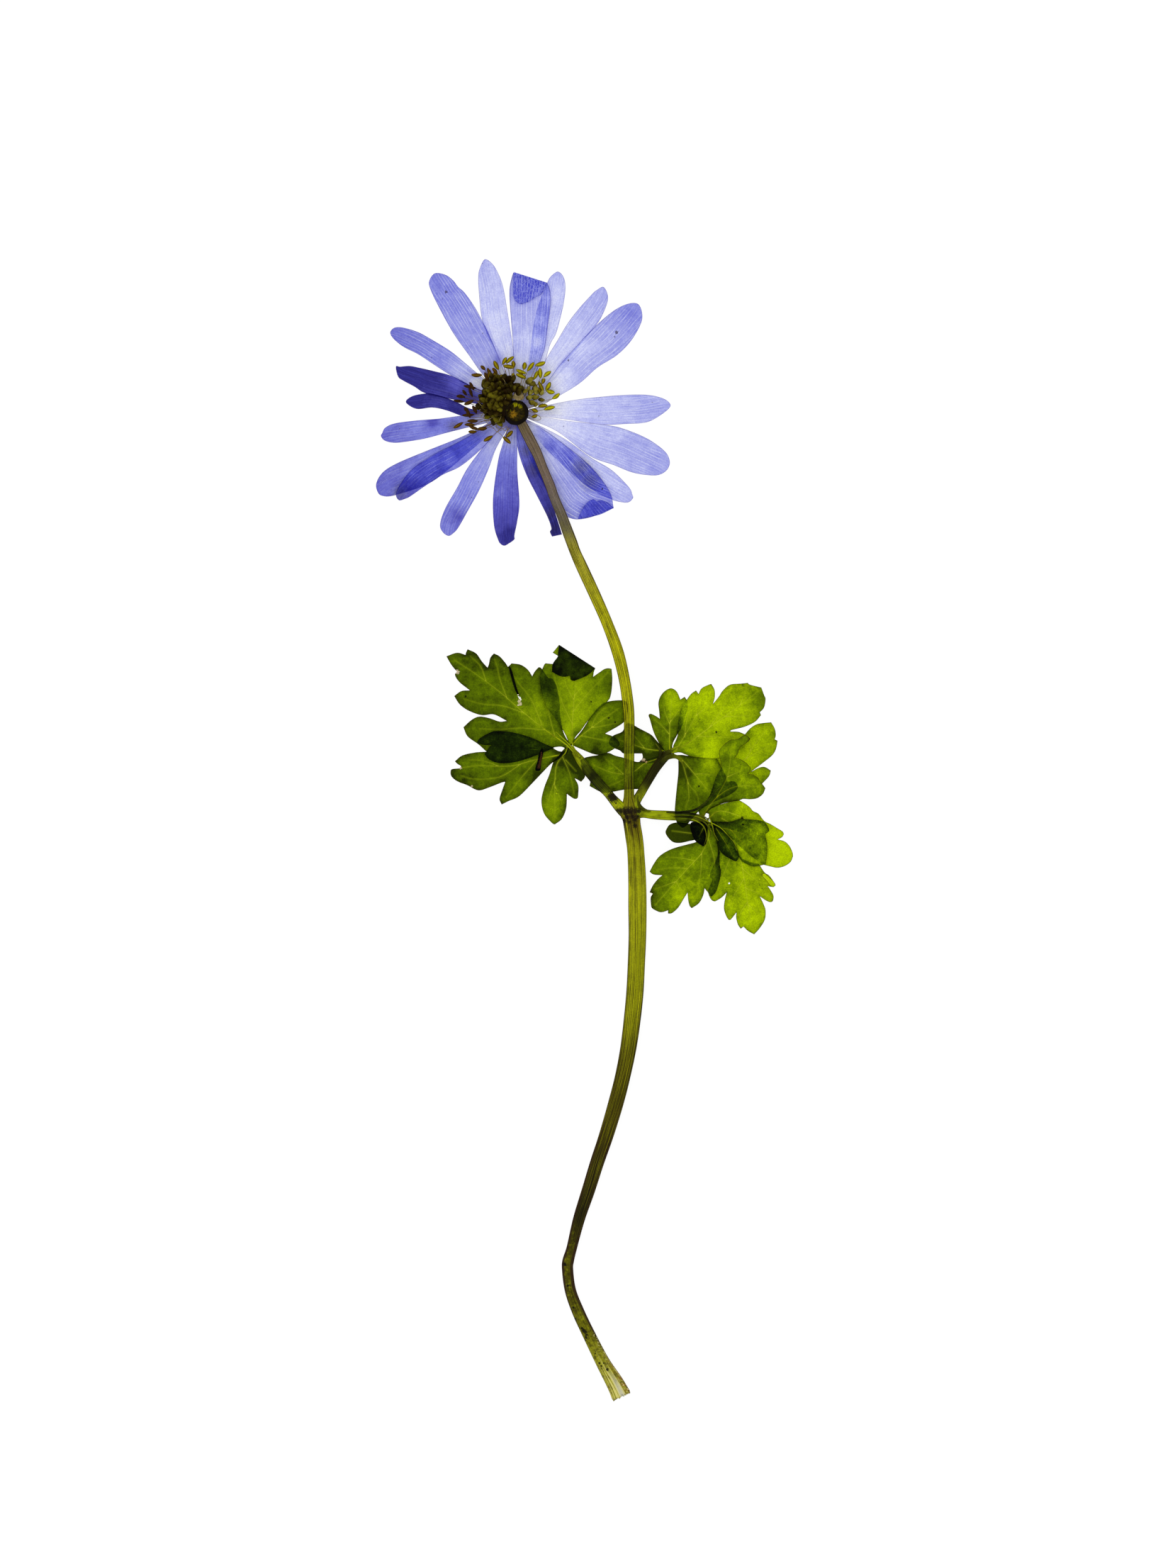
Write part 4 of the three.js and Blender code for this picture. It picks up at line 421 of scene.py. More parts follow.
# Flecks of the button: place from its middle, radius and screen values
BUTTON_FLECKS = ((-0.1, 1.12, 0.42, (168, 164, 0)), (0.62, 1.0, 0.4, (140, 136, 0)),
                 (-0.4, -0.25, 0.6, (150, 112, 16)), (-1.0, 0.3, 0.35, (96, 92, 4)))

# Anthers: their grids and height, then half their width, how much narrower the dark ones are, and half
# their thickness
ANTHER_LONG, ANTHER_ROUND, ANTHER_LEVEL = 13, 14, 1.72
ANTHER_WIDTH, DARK_ANTHER_SHRINKS, ANTHER_THICKNESS = 0.3, 0.07, 0.22
# The base and the tip of each anther, and how dark it is
ANTHERS = (
    "70.9,51.6,71.5,50.5,.25 71.4,51.4,72.55,50.4,.2 70.4,52.3,69.7,51,.3 72.5,52,72.4,51,.35"
    " 70.95,51.7,72.6,52,.3 73.9,52.3,74.1,51.2,.2 74.4,52.5,75.4,51.2,.15 75.5,51.7,77,51.2,.1"
    " 74.3,52.8,72.8,52.25,.1 74.3,53.5,72.8,52.9,.2 75.3,53.7,75.9,52.4,.15 76.3,53.5,76.2,52,.1"
    " 76.7,53.3,77.8,52.5,0 75.1,53.85,75.9,55,.3 76,53.85,76.7,55.35,.3 76.5,54.3,76.9,53.5,.3"
    " 77,55.2,77.7,54,.1 77.1,55.2,78.3,55.5,0 77.9,56.4,79,55.6,0 76.7,57.9,78.35,57.5,0"
    " 75.9,57.5,77.3,57.3,.25 75,57.8,75.95,58.2,.3 75,58.95,75.85,58.7,.3 75.8,54.7,76.4,55.9,.35"
    " 68.1,53,66.5,53,.6 68.5,52.3,67.85,51.7,.65 68.9,54.1,68.4,52.6,.75 69.5,54.4,69.7,53,.7"
    " 69.4,53.2,68.8,52,.7 70.2,53,69.5,52,.65 68.6,53.4,69.3,52.4,.7 67.3,54.9,65.4,54.5,.9"
    " 66.7,56.15,66.2,54.8,.95 65.9,55.9,65.3,55.1,.95 65.7,56.15,64.4,56,.9 65.55,56.8,64,56.6,.95"
    " 66.9,56.55,65.5,57.2,.75 67.3,58.5,66.7,57.3,.8 66.4,59.1,65.8,57.8,.85 67,58.6,65.2,58.7,.85"
    " 65.4,59.65,64,60.5,.6 67.5,59.5,65.95,59.5,.75 67.1,60.05,65.55,60,.7 67.6,60.7,66.2,60.2,.75"
    " 68.8,60.5,67.4,60.6,.7 67.3,61,66.1,61,.65 69.6,61.55,68.25,62.35,.5 71.4,61.8,72.4,60.9,.45"
    " 70.95,61.7,72.1,62.7,.5 69.8,53.9,69.95,52.3,.5 68.9,53.6,69.1,52.2,.55 70.3,54.1,70.9,52.9,.35"
    " 69.2,54.8,68.5,53.6,.6 72.3,53.9,72.5,52.7,.25 66.9,55.2,66.3,54,.8 66.2,58.2,65.5,57.6,.9")
# A filament's width and height at the head, in its middle and at its anther
FILAMENT = ((0.12, 1.55), (0.1, 1.62), (0.08, 1.7))
# Filaments that lost their anther, and curl
LOOSE_FILAMENTS = [
    "74.4,58 75.1,58.25 75.7,58.55 76.2,58.9 76.3,59.25 75.8,59.4 75.1,59.25 74.6,59",
    "74.6,57.6 75.6,57.35 76.7,57.1 77.4,56.75 77.9,56.4", "71.6,60.2 70.9,60.7 70.1,61.1 69.6,61.55",
    "69.6,60.4 70,60.9 70.3,61.1 70.7,61.4 70.95,61.7",
    "69.9,60.2 70.4,60.75 70.9,60.5 71.2,60.85 71.6,60.7",
    "71.5,60.4 71.9,60.85 72.4,60.75 72.6,60.4 72.9,60.6", "70.2,59.6 70.1,60.3 70.45,60.6 70.2,61",
    "68.2,58.9 68.7,59.7 69.2,60.3 69.8,60.6", "74.2,55.8 74.6,55 74.8,54 75.1,53.2",
    "73.2,55 73.6,53.8 73.7,52.9", "72.2,54.2 72.2,53 72.4,52.2"]


def numbers(text):
    """The rows of numbers in text, and which rows end in a star."""
    words = text.split()
    rows = [[float(number) for number in word.strip("*").split(",")] for word in words]
    return np.array(rows), [word.endswith("*") for word in words]


def smooth(points, step):
    """A Catmull-Rom curve through the points, cut into even steps. Each span is a cubic with the mean slope
    of its neighbours at its ends. All columns are carried along, and distance is counted in the first
    two."""
    if len(points) < 3:
        dense = points
    else:
        padded = np.vstack([2 * points[0] - points[1], points, 2 * points[-1] - points[-2]])
        t = np.linspace(0, 1, 9)[:-1, None, None]
        a, b, c, d = padded[:-3], padded[1:-2], padded[2:-1], padded[3:]
        cubic = b + 0.5 * t * (c - a + t * (2 * a - 5 * b + 4 * c - d + t * (3 * (b - c) + d - a)))
        dense = np.vstack([cubic.transpose(1, 0, 2).reshape(-1, points.shape[1]), points[-1]])
    run = np.r_[0, np.cumsum(np.hypot(*np.diff(dense[:, :2], axis=0).T))]
    even = np.linspace(0, run[-1], max(2, int(round(run[-1] / step)) + 1))
    return np.stack([np.interp(even, run, column) for column in dense.T], axis=1)


def route(text, step):
    """A smooth path through the rows of numbers in text."""
    return smooth(numbers(text)[0], step)


def outline(text, step=0.22):
    """A closed outline: curves between its sharp corners."""
    points, sharp = numbers(text)
    corners = np.flatnonzero(sharp)
    points = np.roll(points, -corners[0], axis=0)
    corners = np.r_[corners - corners[0], len(points)]
    points = np.vstack([points, points[:1]])
    return np.vstack([smooth(points[i:j + 1], step)[:-1] for i, j in zip(corners[:-1], corners[1:])])


def line_distance(points, a, b, extra=0.0):
    """How far each point is from the nearest of the straight pieces from a to b, each with its own extra."""
    nearest = np.empty(len(points))
    along = b - a
    square = np.maximum((along ** 2).sum(1), TINY ** 2)
    for start in range(0, len(points), CHUNK):
        offset = points[start:start + CHUNK, None, :] - a
        t = np.clip((offset * along).sum(2) / square, 0, 1)
        nearest[start:start + CHUNK] = (np.sqrt(((offset - t[..., None] * along) ** 2).sum(2)) + extra).min(1)
    return nearest


def crossings(points, a, b):
    """True where a level ray to the right of a point crosses the pieces from a to b an odd number of
    times."""
    y = points[:, 1:2]
    spans = (a[:, 1] > y) != (b[:, 1] > y)
    rise = np.where(a[:, 1] == b[:, 1], TINY, b[:, 1] - a[:, 1])
    at = a[:, 0] + (y - a[:, 1]) / rise * (b[:, 0] - a[:, 0])
    return (spans & (points[:, :1] < at)).sum(1) % 2 == 1


def depth_inside(points, loop):
    """How deep each point lies in a closed loop: its distance to the edge, negative outside, and -FAR far
    away."""
    depth = np.full(len(points), -FAR)
    near = np.flatnonzero(((points > loop.min(0) - FAR) & (points < loop.max(0) + FAR)).all(1))
    if len(near):
        after = np.roll(loop, -1, axis=0)
        chunks = np.array_split(points[near], 1 + len(near) // CHUNK)
        inside = np.concatenate([crossings(chunk, loop, after) for chunk in chunks])
        depth[near] = np.where(inside, 1, -1) * line_distance(points[near], loop, after)
    return depth


def layers_behind(points, loops):
    """Depths in the loops that overlap each point, the deepest first and the next second."""
    first = second = np.full(len(points), -FAR)
    for loop in loops:
        depth = depth_inside(points, loop)
        second = np.maximum(second, np.minimum(first, depth))
        first = np.maximum(first, depth)
    return first, second


def area_tone(points, text):
    """Soft round areas, each a bell curve of the distance from its middle, added up."""
    areas = numbers(text)[0]
    away = np.hypot(points[:, :1] - areas[:, 0], points[:, 1:] - areas[:, 1]) / areas[:, 2]
    return (areas[:, 3] * np.exp(-away ** 2)).sum(1)


def ripple(x, y, size, seed):
    """Slow waves over the sheet: three crossed sines of about the given size, of height 1."""
    rng = np.random.default_rng(seed)
    total = 0
    for turn, phase in zip(rng.uniform(0, 2 * math.pi, 3), rng.uniform(0, 2 * math.pi, 3)):
        total = total + np.sin((x * math.cos(turn) + y * math.sin(turn)) * 2 * math.pi / size + phase)
    return total / 3


def unit(vectors):
    """The vectors, in rows, at length 1."""
    return vectors / np.maximum(np.hypot(*vectors.T), TINY)[:, None]


def turns(count):
    """Even angles all the way round."""
    return 2 * np.pi * np.arange(count) / count


def grid_points(x, y, z):
    """The points of a grid, row by row."""
    return np.stack(np.broadcast_arrays(x, y, z), axis=-1).reshape(-1, 3)


def grid_quads(rows, columns, around=False):
    """The quads of a grid of points, row by row. around also joins the last column to the first."""
    i = np.arange(rows - 1)[:, None] * columns
    j = np.arange(columns if around else columns - 1)[None, :]
    k = (j + 1) % columns
    return np.stack([i + j, i + k, i + columns + k, i + columns + j], axis=-1).reshape(-1, 4)


class Piece:
    """Collects surfaces and their numbers for each point, and makes one mesh of them."""

    def __init__(self, name):
        self.name = name
        self.points, self.faces, self.values, self.count = [], [], {}, 0

    def add(self, points, faces, over=None, **values):
        """points: sheet x, sheet y and height in millimetres. Sheet y runs down, so each face is turned
        round. over: the outlines of the other blades, to find how many of them lie at each point."""
        self.points.append(points)
        self.faces += [tuple(face) for face in (faces[:, ::-1] + self.count).tolist()]
        if over is not None:
            values["behind"], values["behind_two"] = layers_behind(points[:, :2], over)
        for key, value in values.items():
            value = np.broadcast_to(np.asarray(value, dtype=float), (len(points),))
            self.values.setdefault(key, []).append(value)
        self.count += len(points)

    def add_rings(self, x, y, z, **values):
        """A body of rings from pole to pole, where each value may change from ring to ring or round the
        axis."""
        values = {key: np.broadcast_to(value, x.shape).ravel() for key, value in values.items()}
        self.add(grid_points(x, y, z), grid_quads(*x.shape, around=True)[:, ::-1], **values)

    def build(self, node, slot, material, thin=False):
        """thin: the light passes through, so it casts no shadow."""
        x, y, z = np.vstack(self.points).T
        place = np.stack([x - CENTRE[0], CENTRE[1] - y, z], axis=1) * MM
        mesh = bpy.data.meshes.new(self.name)
        mesh.from_pydata(place.tolist(), [], self.faces)
        for key, value in self.values.items():
            mesh.attributes.new(key, "FLOAT", "POINT").data.foreach_set("value", np.concatenate(value))
        mesh.materials.append(material)
        mesh.shade_smooth()
        mesh.update()
        thing = bpy.data.objects.new(self.name, mesh)
        thing.visible_shadow = not thin
        bpy.context.collection.objects.link(thing)
        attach(thing, "root")
        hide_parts(node)


def closed_sheet(upper, lower, rows, columns):
    """Quads that close two equal grids into one thin solid: both faces, and a rim round all four sides."""
    top = grid_quads(rows, columns)
    size = rows * columns
    ring = np.r_[np.arange(columns), np.arange(1, rows) * columns + columns - 1,
                 (rows - 1) * columns + np.arange(columns - 2, -1, -1), np.arange(rows - 2, 0, -1) * columns]
    after = np.roll(ring, -1)
    rim = np.stack([ring, ring + size, after + size, after], axis=1)
    return np.vstack([upper, lower]), np.vstack([top, top[:, ::-1] + size, rim[:, ::-1]])


def cut_sheet(loop, veins, spacing, height):
    """A thin solid in an outline: a net of triangles over an even lattice, bound to the outline and to the
    veins, at the heights that the function gives, with a lower face and a rim."""
    low, high = loop.min(0), loop.max(0)
    rows = np.arange(low[1], high[1], spacing * LATTICE_ROW)
    gx, gy = np.meshgrid(np.arange(low[0], high[0], spacing), rows)
    gx[1::2] += spacing / 2
    lattice = np.stack([gx.ravel(), gy.ravel()], axis=1)
    clear = depth_inside(lattice, loop) > spacing * EDGE_GAP
    lines = []
    for vein in veins:
        inside = depth_inside(vein, loop) > VEIN_INSET
        if inside.sum() > 1:
            lines.append(vein[inside])
            clear &= line_distance(lattice, vein[:-1], vein[1:]) > spacing * VEIN_GAP
    beside = np.zeros((0, 2))
    for line in lines:
        side = np.gradient(line, axis=0)[:, ::-1] * (-1, 1)
        side *= spacing * BESIDE_VEIN / np.maximum(np.hypot(*side.T), TINY)[:, None]
        beside = np.vstack([beside, line + side, line - side])
    if lines:
        ends = np.vstack([line[:-1] for line in lines]), np.vstack([line[1:] for line in lines])
        margin = spacing * BESIDE_GAP
        beside = beside[(line_distance(beside, *ends) > margin) & (depth_inside(beside, loop) > margin)]
    lattice = np.vstack([lattice[clear], beside])
    edges, start = [], len(loop) + len(lattice)
    for line in lines:
        edges += [(start + k, start + k + 1) for k in range(len(line) - 1)]
        start += len(line)
    flat = np.vstack([loop, lattice, *lines])
    border = [list(range(len(loop)))]
    corners = [Vector(point) for point in flat.tolist()]
    made, _, faces, *_ = delaunay_2d_cdt(corners, edges, border, INSIDE_ONLY, SAME_POINT)
    flat, tri = np.array(made), np.array(faces)
    a, b, c = (flat[tri[:, k]] for k in range(3))
    area = (b[:, 0] - a[:, 0]) * (c[:, 1] - a[:, 1]) - (b[:, 1] - a[:, 1]) * (c[:, 0] - a[:, 0])
    tri = np.where(area[:, None] > 0, tri, tri[:, ::-1])
    sides = np.vstack([tri[:, [0, 1]], tri[:, [1, 2]], tri[:, [2, 0]]])
    size = len(flat)
    _, which, times = np.unique(np.sort(sides, axis=1) @ (size, 1), return_index=True, return_counts=True)
    a, b = sides[which[times == 1]].T
    rim = np.vstack([np.stack([a, a + size, b + size], axis=1), np.stack([a, b + size, b], axis=1)])
    z = height(*flat.T)
    place = np.vstack([np.c_[flat, z + BLADE / 2], np.c_[flat, z - BLADE / 2]])
    return place, np.vstack([tri, tri[:, ::-1] + size, rim])


def closed_tube(x, y, z):
    """Rings along a path, joined, with each end closed to a point in the middle of its ring."""
    count, around = x.shape
    ring = grid_points(x, y, z)
    size, first = count * around, np.arange(around)
    last = first + size - around
    quads = grid_quads(count, around, around=True)
    ends = np.stack([ring[:around].mean(0), ring[-around:].mean(0)])
    fans = [np.stack([np.full(around, size), np.roll(first, -1), first], axis=1),
            np.stack([np.full(around, size + 1), last, np.roll(last, -1)], axis=1)]
    return np.vstack([ring, ends]), np.vstack([quads[:, [0, 1, 2]], quads[:, [0, 2, 3]], *fans])


def thread(path, around=6):
    """A thin round thread along a path of place, width and height."""
    along = unit(np.gradient(path[:, :2], axis=0))
    angle = turns(around)
    half = path[:, 2:3] / 2
    across = np.cos(angle) * half
    return closed_tube(path[:, :1] - along[:, 1:] * across, path[:, 1:2] + along[:, :1] * across,
                       path[:, 3:4] + np.sin(angle) * half)


def ribbed_tube(text, step, around, ribs, depth, ragged=0.0):
    """A tube along a path: an oval, flattened below, whose radius swells ribs times round it. The last ring
    can be ragged along the path. Also gives the distance along, the side and the path's last number at each
    point."""
    path = route(text, step)
    along = unit(np.gradient(path[:, :2], axis=0))
    angle = turns(around)
    distance = np.arange(len(path)) * step
    twist = RIB_TWIST * np.sin(distance / TWIST_LENGTH)[:, None]
    uneven = UNEVEN_RIBS * np.sin(UNEVEN_SIDES * angle + distance[:, None] / UNEVEN_LENGTH)
    wave = 0.5 + 0.5 * np.cos(ribs * (angle + twist)) + uneven
    swell = 1 - depth * wave
    half = path[:, 2:3] / 2
    across = np.cos(angle) * swell * half
    z = path[:, 3:4] + half * TUBE_FLATNESS * (TUBE_SOLE + np.maximum(np.sin(angle) * swell, -TUBE_SOLE))
    x = path[:, :1] - along[:, 1:] * across
    y = path[:, 1:2] + along[:, :1] * across
    if ragged:
        tear = ragged * np.random.default_rng(3).uniform(-1, 0.15, around)
        for row, share in TORN_RINGS:
            x[row] += along[row, 0] * tear * share
            y[row] += along[row, 1] * tear * share
    points, faces = closed_tube(x, y, z)
    run, dusk = (np.r_[np.repeat(column, around), column[[0, -1]]] for column in (distance, path[:, -1]))
    return points, faces, run, np.r_[np.tile(np.cos(angle), len(path)), 0, 0], dusk


def spun(centre, profile, around, wobble=0.0):
    """A body turned round an upright axis: its profile is radius and height pairs from pole to pole. Its
    radius may wobble round the axis."""
    profile = np.array(profile)
    angle = turns(around)
    radius = profile[:, :1] * (1 + wobble * np.sin(5 * angle) * np.sin(3 * angle + 1))
    return centre[0] + radius * np.cos(angle), centre[1] - radius * np.sin(angle), profile[:, 1:]


def flower_rise(x, y):
    """Lift of the tepals in millimetres: the square of how far out a point is, but none on the stem's
    side."""
    dx, dy = x - BUTTON[0], BUTTON[1] - y
    reach = np.maximum(0, np.hypot(dx, dy) - FLOWER_RISE_FROM) / (FLOWER_RADIUS - FLOWER_RISE_FROM)
    away = (1 - np.cos(np.arctan2(dy, dx) - STEM_BEARING)) / 2
    return FLOWER_RISE * reach ** 2 * np.minimum(1, 2 * away ** 2)


def tepal_curves(left, right, step, root_reach=0.0):
    """The two edges of a tepal from root to tip. They are one curve round the tip, unless the tip is sharp.
    Both can begin nearer to the button, under the head."""
    (a, sharp), (b, _) = numbers(left), numbers(right)
    if root_reach:
        a, b = (np.vstack([p[:1] + (np.array(BUTTON) - p[:1]) * root_reach, p]) for p in (a, b))
    if sharp[-1]:
        return smooth(a, step), smooth(b, step)
    whole = smooth(np.vstack([a, b[-2::-1]]), step)
    tip = np.hypot(*(whole - a[-1]).T).argmin()
    return whole[:tip + 1], whole[:tip - 1:-1]


def tepal_edges(left, right):
    """The two edges with as many points each, closer to each other towards the tip."""
    share = 1 - (1 - np.linspace(0, 0.9995, TEPAL_ROWS)) ** TIP_CROWDING
    return [np.stack([np.interp(share, np.linspace(0, 1, len(curve)), column) for column in curve.T], axis=1)
            for curve in tepal_curves(left, right, 0.05, ROOT_REACH)]


def tepal_loop(left, right):
    """The closed outline of a tepal."""
    a, b = tepal_curves(left, right, 0.3)
    return np.vstack([a, b[::-1]])


def tepal_lanes(a, b, v):
    """The distance along a tepal's middle, and the lanes that its veins run in: they spread from the root to
    where the tepal is widest, and from there on lie side by side."""
    run = np.r_[0, np.cumsum(np.hypot(*np.diff((a + b) / 2, axis=0).T))][:, None]
    half = np.hypot(*(b - a).T)[:, None] / 2
    widest = np.maximum.accumulate(half, axis=0)
    return run, v * half / widest * (LANE_SPREAD * widest + (1 - LANE_SPREAD) * half.max())


def make_tepals():
    """Each tepal is a ruled sheet between its two edges: along u from root to tip and across v from -1 to 1.
    It arches by the square of v, ripples a little, and is pressed thin."""
    piece = Piece("tepal_blades")
    loops = [tepal_loop(left, right) for _, _, left, right in TEPALS]
    v = np.linspace(-1, 1, TEPAL_COLUMNS)
    for index, (upper, deep, left, right) in enumerate(TEPALS):
        a, b = tepal_edges(left, right)
        x, y = (a[:, i:i + 1] * (1 - v) / 2 + b[:, i:i + 1] * (1 + v) / 2 for i in (0, 1))
        run, lane = tepal_lanes(a, b, v)
        u = run / run[-1]
        arch = TEPAL_ARCH * (1 - v ** 2) * np.sin(np.pi * u) + TEPAL_FLUTES * np.cos(FLUTE_PACE * v) * u
        arch = arch + TEPAL_RIPPLE * ripple(x, y, TEPAL_WAVE, index)
        level = TEPAL_LEVEL + UPPER_TEPAL * upper + flower_rise(x, y)
        face = grid_points(x, y, level + arch * np.minimum(1, 6 * u))
        points, faces = closed_sheet(face, face - (0, 0, BLADE), TEPAL_ROWS, TEPAL_COLUMNS)
        flat = points[:, :2]
        along, lane, share = (np.tile(np.broadcast_to(grid, x.shape).ravel(), 2) for grid in (run, lane, u))
        piece.add(points, faces, over=loops[:index] + loops[index + 1:], along=along, lane=lane, share=share,
                  net=0.0, edge=-depth_inside(flat, loops[index]), deep=deep + area_tone(flat, TEPAL_AREAS),
                  seed=index * 7.3)
    for index, (upper, deep, text) in enumerate(TEPAL_FOLDS):
        level = FOLD_LEVEL + UPPER_TEPAL * upper
        points, faces = cut_sheet(
            outline(text, 0.3), [], SHEET_SPACING,
            lambda x, y: level + flower_rise(x, y) + FOLD_RIPPLE * ripple(x, y, FOLD_WAVE, 5))
        dx, dy = (points[:, :2] - BUTTON).T
        reach = np.hypot(dx, dy)
        piece.add(points, faces, over=loops, along=reach, lane=np.arctan2(dy, dx) * 17, share=reach / 22,
                  net=0.75 if index == 0 else 0.15, edge=-1.0, deep=deep, seed=91 + index)
    piece.build("tepals", "tepal", tepal_finish(), thin=True)
    roots = Piece("tepal_roots")
    roots.add_rings(*spun(BUTTON, ROOT_DISC, 48, 0.05))
    roots.build("tepals", "tepal", root_finish(), thin=True)


def leaf_plane(name, x, y):
    """The height of each leaf's plane over the sheet."""
    if name == "left":
        return LEFT_LEAF_SLOPE * (x - LEFT_LEAF_FOOT)
    return LOWER_LEAF_SLOPE * (LOWER_LEAF_FOOT - y) if name == "lower" else 0.0


def make_leaf(name, finish, stalk_skin, everything):
    """Each segment of a leaf is a cut sheet that ripples, dips along its veins and lifts a little to its
    tips. A tapered midrib runs along each that starts at the hub."""
    segments, stalk, _, node, slot = LEAVES[name]
    blades, ribs = Piece("leaf_" + name + "_blades"), Piece("leaf_" + name + "_midribs")
    hub = numbers(stalk)[0][-1, :2]
    for index, (level, layers, bright, _, vein_text) in enumerate(segments):
        key = name + str(index)
        skipped = (key, *CLEAR_OVER.get(key, ()))
        veins = [route(text, 0.25) for text in vein_text.split(";")]
        main = veins[0]
        a, b = np.vstack([vein[:-1] for vein in veins]), np.vstack([vein[1:] for vein in veins])
        tapers = [MAIN_VEIN_TAPER] + [SIDE_VEIN_TAPER] * (len(veins) - 1)
        taper = np.concatenate([np.linspace(*ends, len(vein) - 1) for ends, vein in zip(tapers, veins)])

        def height(x, y):
            reach = np.hypot(x - hub[0], y - hub[1]) / LEAF_REACH
            near = line_distance(np.stack([x, y], axis=1), a, b)
            dip = VEIN_DIP * np.exp(-(near / VEIN_DIP_WIDTH) ** 2)
            wave = LEAF_RIPPLE * ripple(x, y, LEAF_WAVE, index) - dip
            return leaf_plane(name, x, y) + level + LEAF_TIP_LIFT * reach ** 2 + LEAF_LEVEL + wave

        points, faces = cut_sheet(everything[key], veins, SHEET_SPACING, height)
        flat = points[:, :2]
        blades.add(points, faces, over=[loop for other, loop in everything.items() if other not in skipped],
                   edge=depth_inside(flat, everything[key]), layers=layers,
                   bright=bright + area_tone(flat, LEAF_AREAS), root=np.hypot(*(flat - hub).T),
                   vein=line_distance(flat, a, b, taper), main=line_distance(flat, main[:-1], main[1:]))
        if layers == 1 and np.hypot(*(main[0] - hub)) < HUB_REACH:
            path = np.vstack([hub, main[:max(3, int(MIDRIB_SHARE * len(main)))]])
            width = MIDRIB_WIDTH - MIDRIB_TAPER * np.linspace(0, 1, len(path)) ** 0.7
            points, faces = thread(smooth(np.c_[path, width, height(*path.T) + 0.02], 0.25), 8)
            ribs.add(points, faces, behind=-FAR, behind_two=-FAR, side=0.0, run=points[:, 0] * 2.0, dusk=0.0)
    blades.build(node, slot, finish, thin=True)
    ribs.build(node, slot, stalk_skin, thin=True)


def make_stalk(name, over, skin):
    """A leaf's ribbed stalk, and the strands that part from its end."""
    _, stalk, strands, node, slot = LEAVES[name]
    piece = Piece("leaf_" + name + "_stalk")
    points, faces, run, side, dusk = ribbed_tube(stalk, 0.25, 36, 7, 0.1)
    piece.add(points, faces, over=over, dusk=dusk, side=side, run=run)
    for strand in strands:
        path = route(strand, 0.2)
        points, faces = thread(path, 8)
        dusk = np.r_[np.repeat(path[:, 4], 8), path[[0, -1], 4]]
        piece.add(points, faces, over=over, dusk=dusk, side=0.0, run=0.0)
    piece.build(node, slot, skin)


def make_stem(leaf_shapes):
    """The ribbed stem, torn at its cut end."""
    piece = Piece("stem_ribs")
    points, faces, run, side, _ = ribbed_tube(STEM, 0.4, 72, 13, 0.09, ragged=0.45)
    piece.add(points, faces, over=leaf_shapes, side=side, run=run)
    piece.build("stem", "stem", stem_finish())


def make_button():
    """The round end of the receptacle: a dish with a thick rolled rim."""
    piece = Piece("receptacle_button")
    piece.add_rings(*spun(BUTTON, BUTTON_DISH, 72, 0.012))
    piece.build("stem", "stem", button_finish())


def make_anther(piece, rng, base, tip, dark):
    """A spindle from base to tip: its radius rises and falls with a power of a sine, with a groove along its
    middle."""
    u = np.linspace(0, 1, ANTHER_LONG)[:, None]
    angle = turns(ANTHER_ROUND)
    along = tip - base
    side = np.array([along[1], -along[0]]) / np.hypot(*along)
    girth = np.clip(np.sin(np.pi * (0.03 + 0.94 * u)), 0, 1) ** 0.66 * (0.92 + 0.16 * np.sin(2.2 * u))
    girth[[0, -1]] = 0
    across = np.cos(angle) * girth * (ANTHER_WIDTH - DARK_ANTHER_SHRINKS * dark) * rng.uniform(0.9, 1.1)
    across = across + 0.06 * np.sin(np.pi * u) * rng.uniform(-1, 1)
    groove = 1 - 0.35 * np.exp(-(np.cos(angle) / 0.3) ** 2)
    level = ANTHER_LEVEL + 0.2 * rng.uniform(0, 1) + 0.1 * u
    z = level + np.sin(angle) * girth * groove * ANTHER_THICKNESS
    piece.add_rings(base[0] + along[0] * u + side[0] * across, base[1] + along[1] * u + side[1] * across, z,
                    middle=np.cos(angle), dark=dark, lengthwise=u)


def make_stamens():
    """An anther and a thin filament for each stamen. The filament bows a little from the head to its
    anther."""
    anthers, threads = Piece("anthers"), Piece("filaments")
    rng = np.random.default_rng(11)
    for row in numbers(ANTHERS)[0]:
        base, tip, dark = row[:2], row[2:4], row[4]
        make_anther(anthers, rng, base, tip, dark)
        out = base - BUTTON
        reach = np.hypot(*out)
        root = np.array(BUTTON) + out / reach * min(2.6, reach * 0.6)
        middle = (root + base) / 2 + np.array([out[1], -out[0]]) / reach * rng.uniform(-0.25, 0.25)
        path = np.c_[[root, middle, base + (tip - base) * 0.12], FILAMENT]
        threads.add(*thread(smooth(path, 0.2)), dark=dark)
    for text in LOOSE_FILAMENTS:
        path = route(text, 0.12)
        width = 0.1 - 0.04 * np.linspace(0, 1, len(path))
        threads.add(*thread(np.c_[path, width, 1.9 + 0.25 * np.sin(np.arange(len(path)) * 0.3)]), dark=0.35)
    anthers.build("stamens", "stamen", anther_finish())
    threads.build("stamens", "stamen", filament_finish(), thin=True)


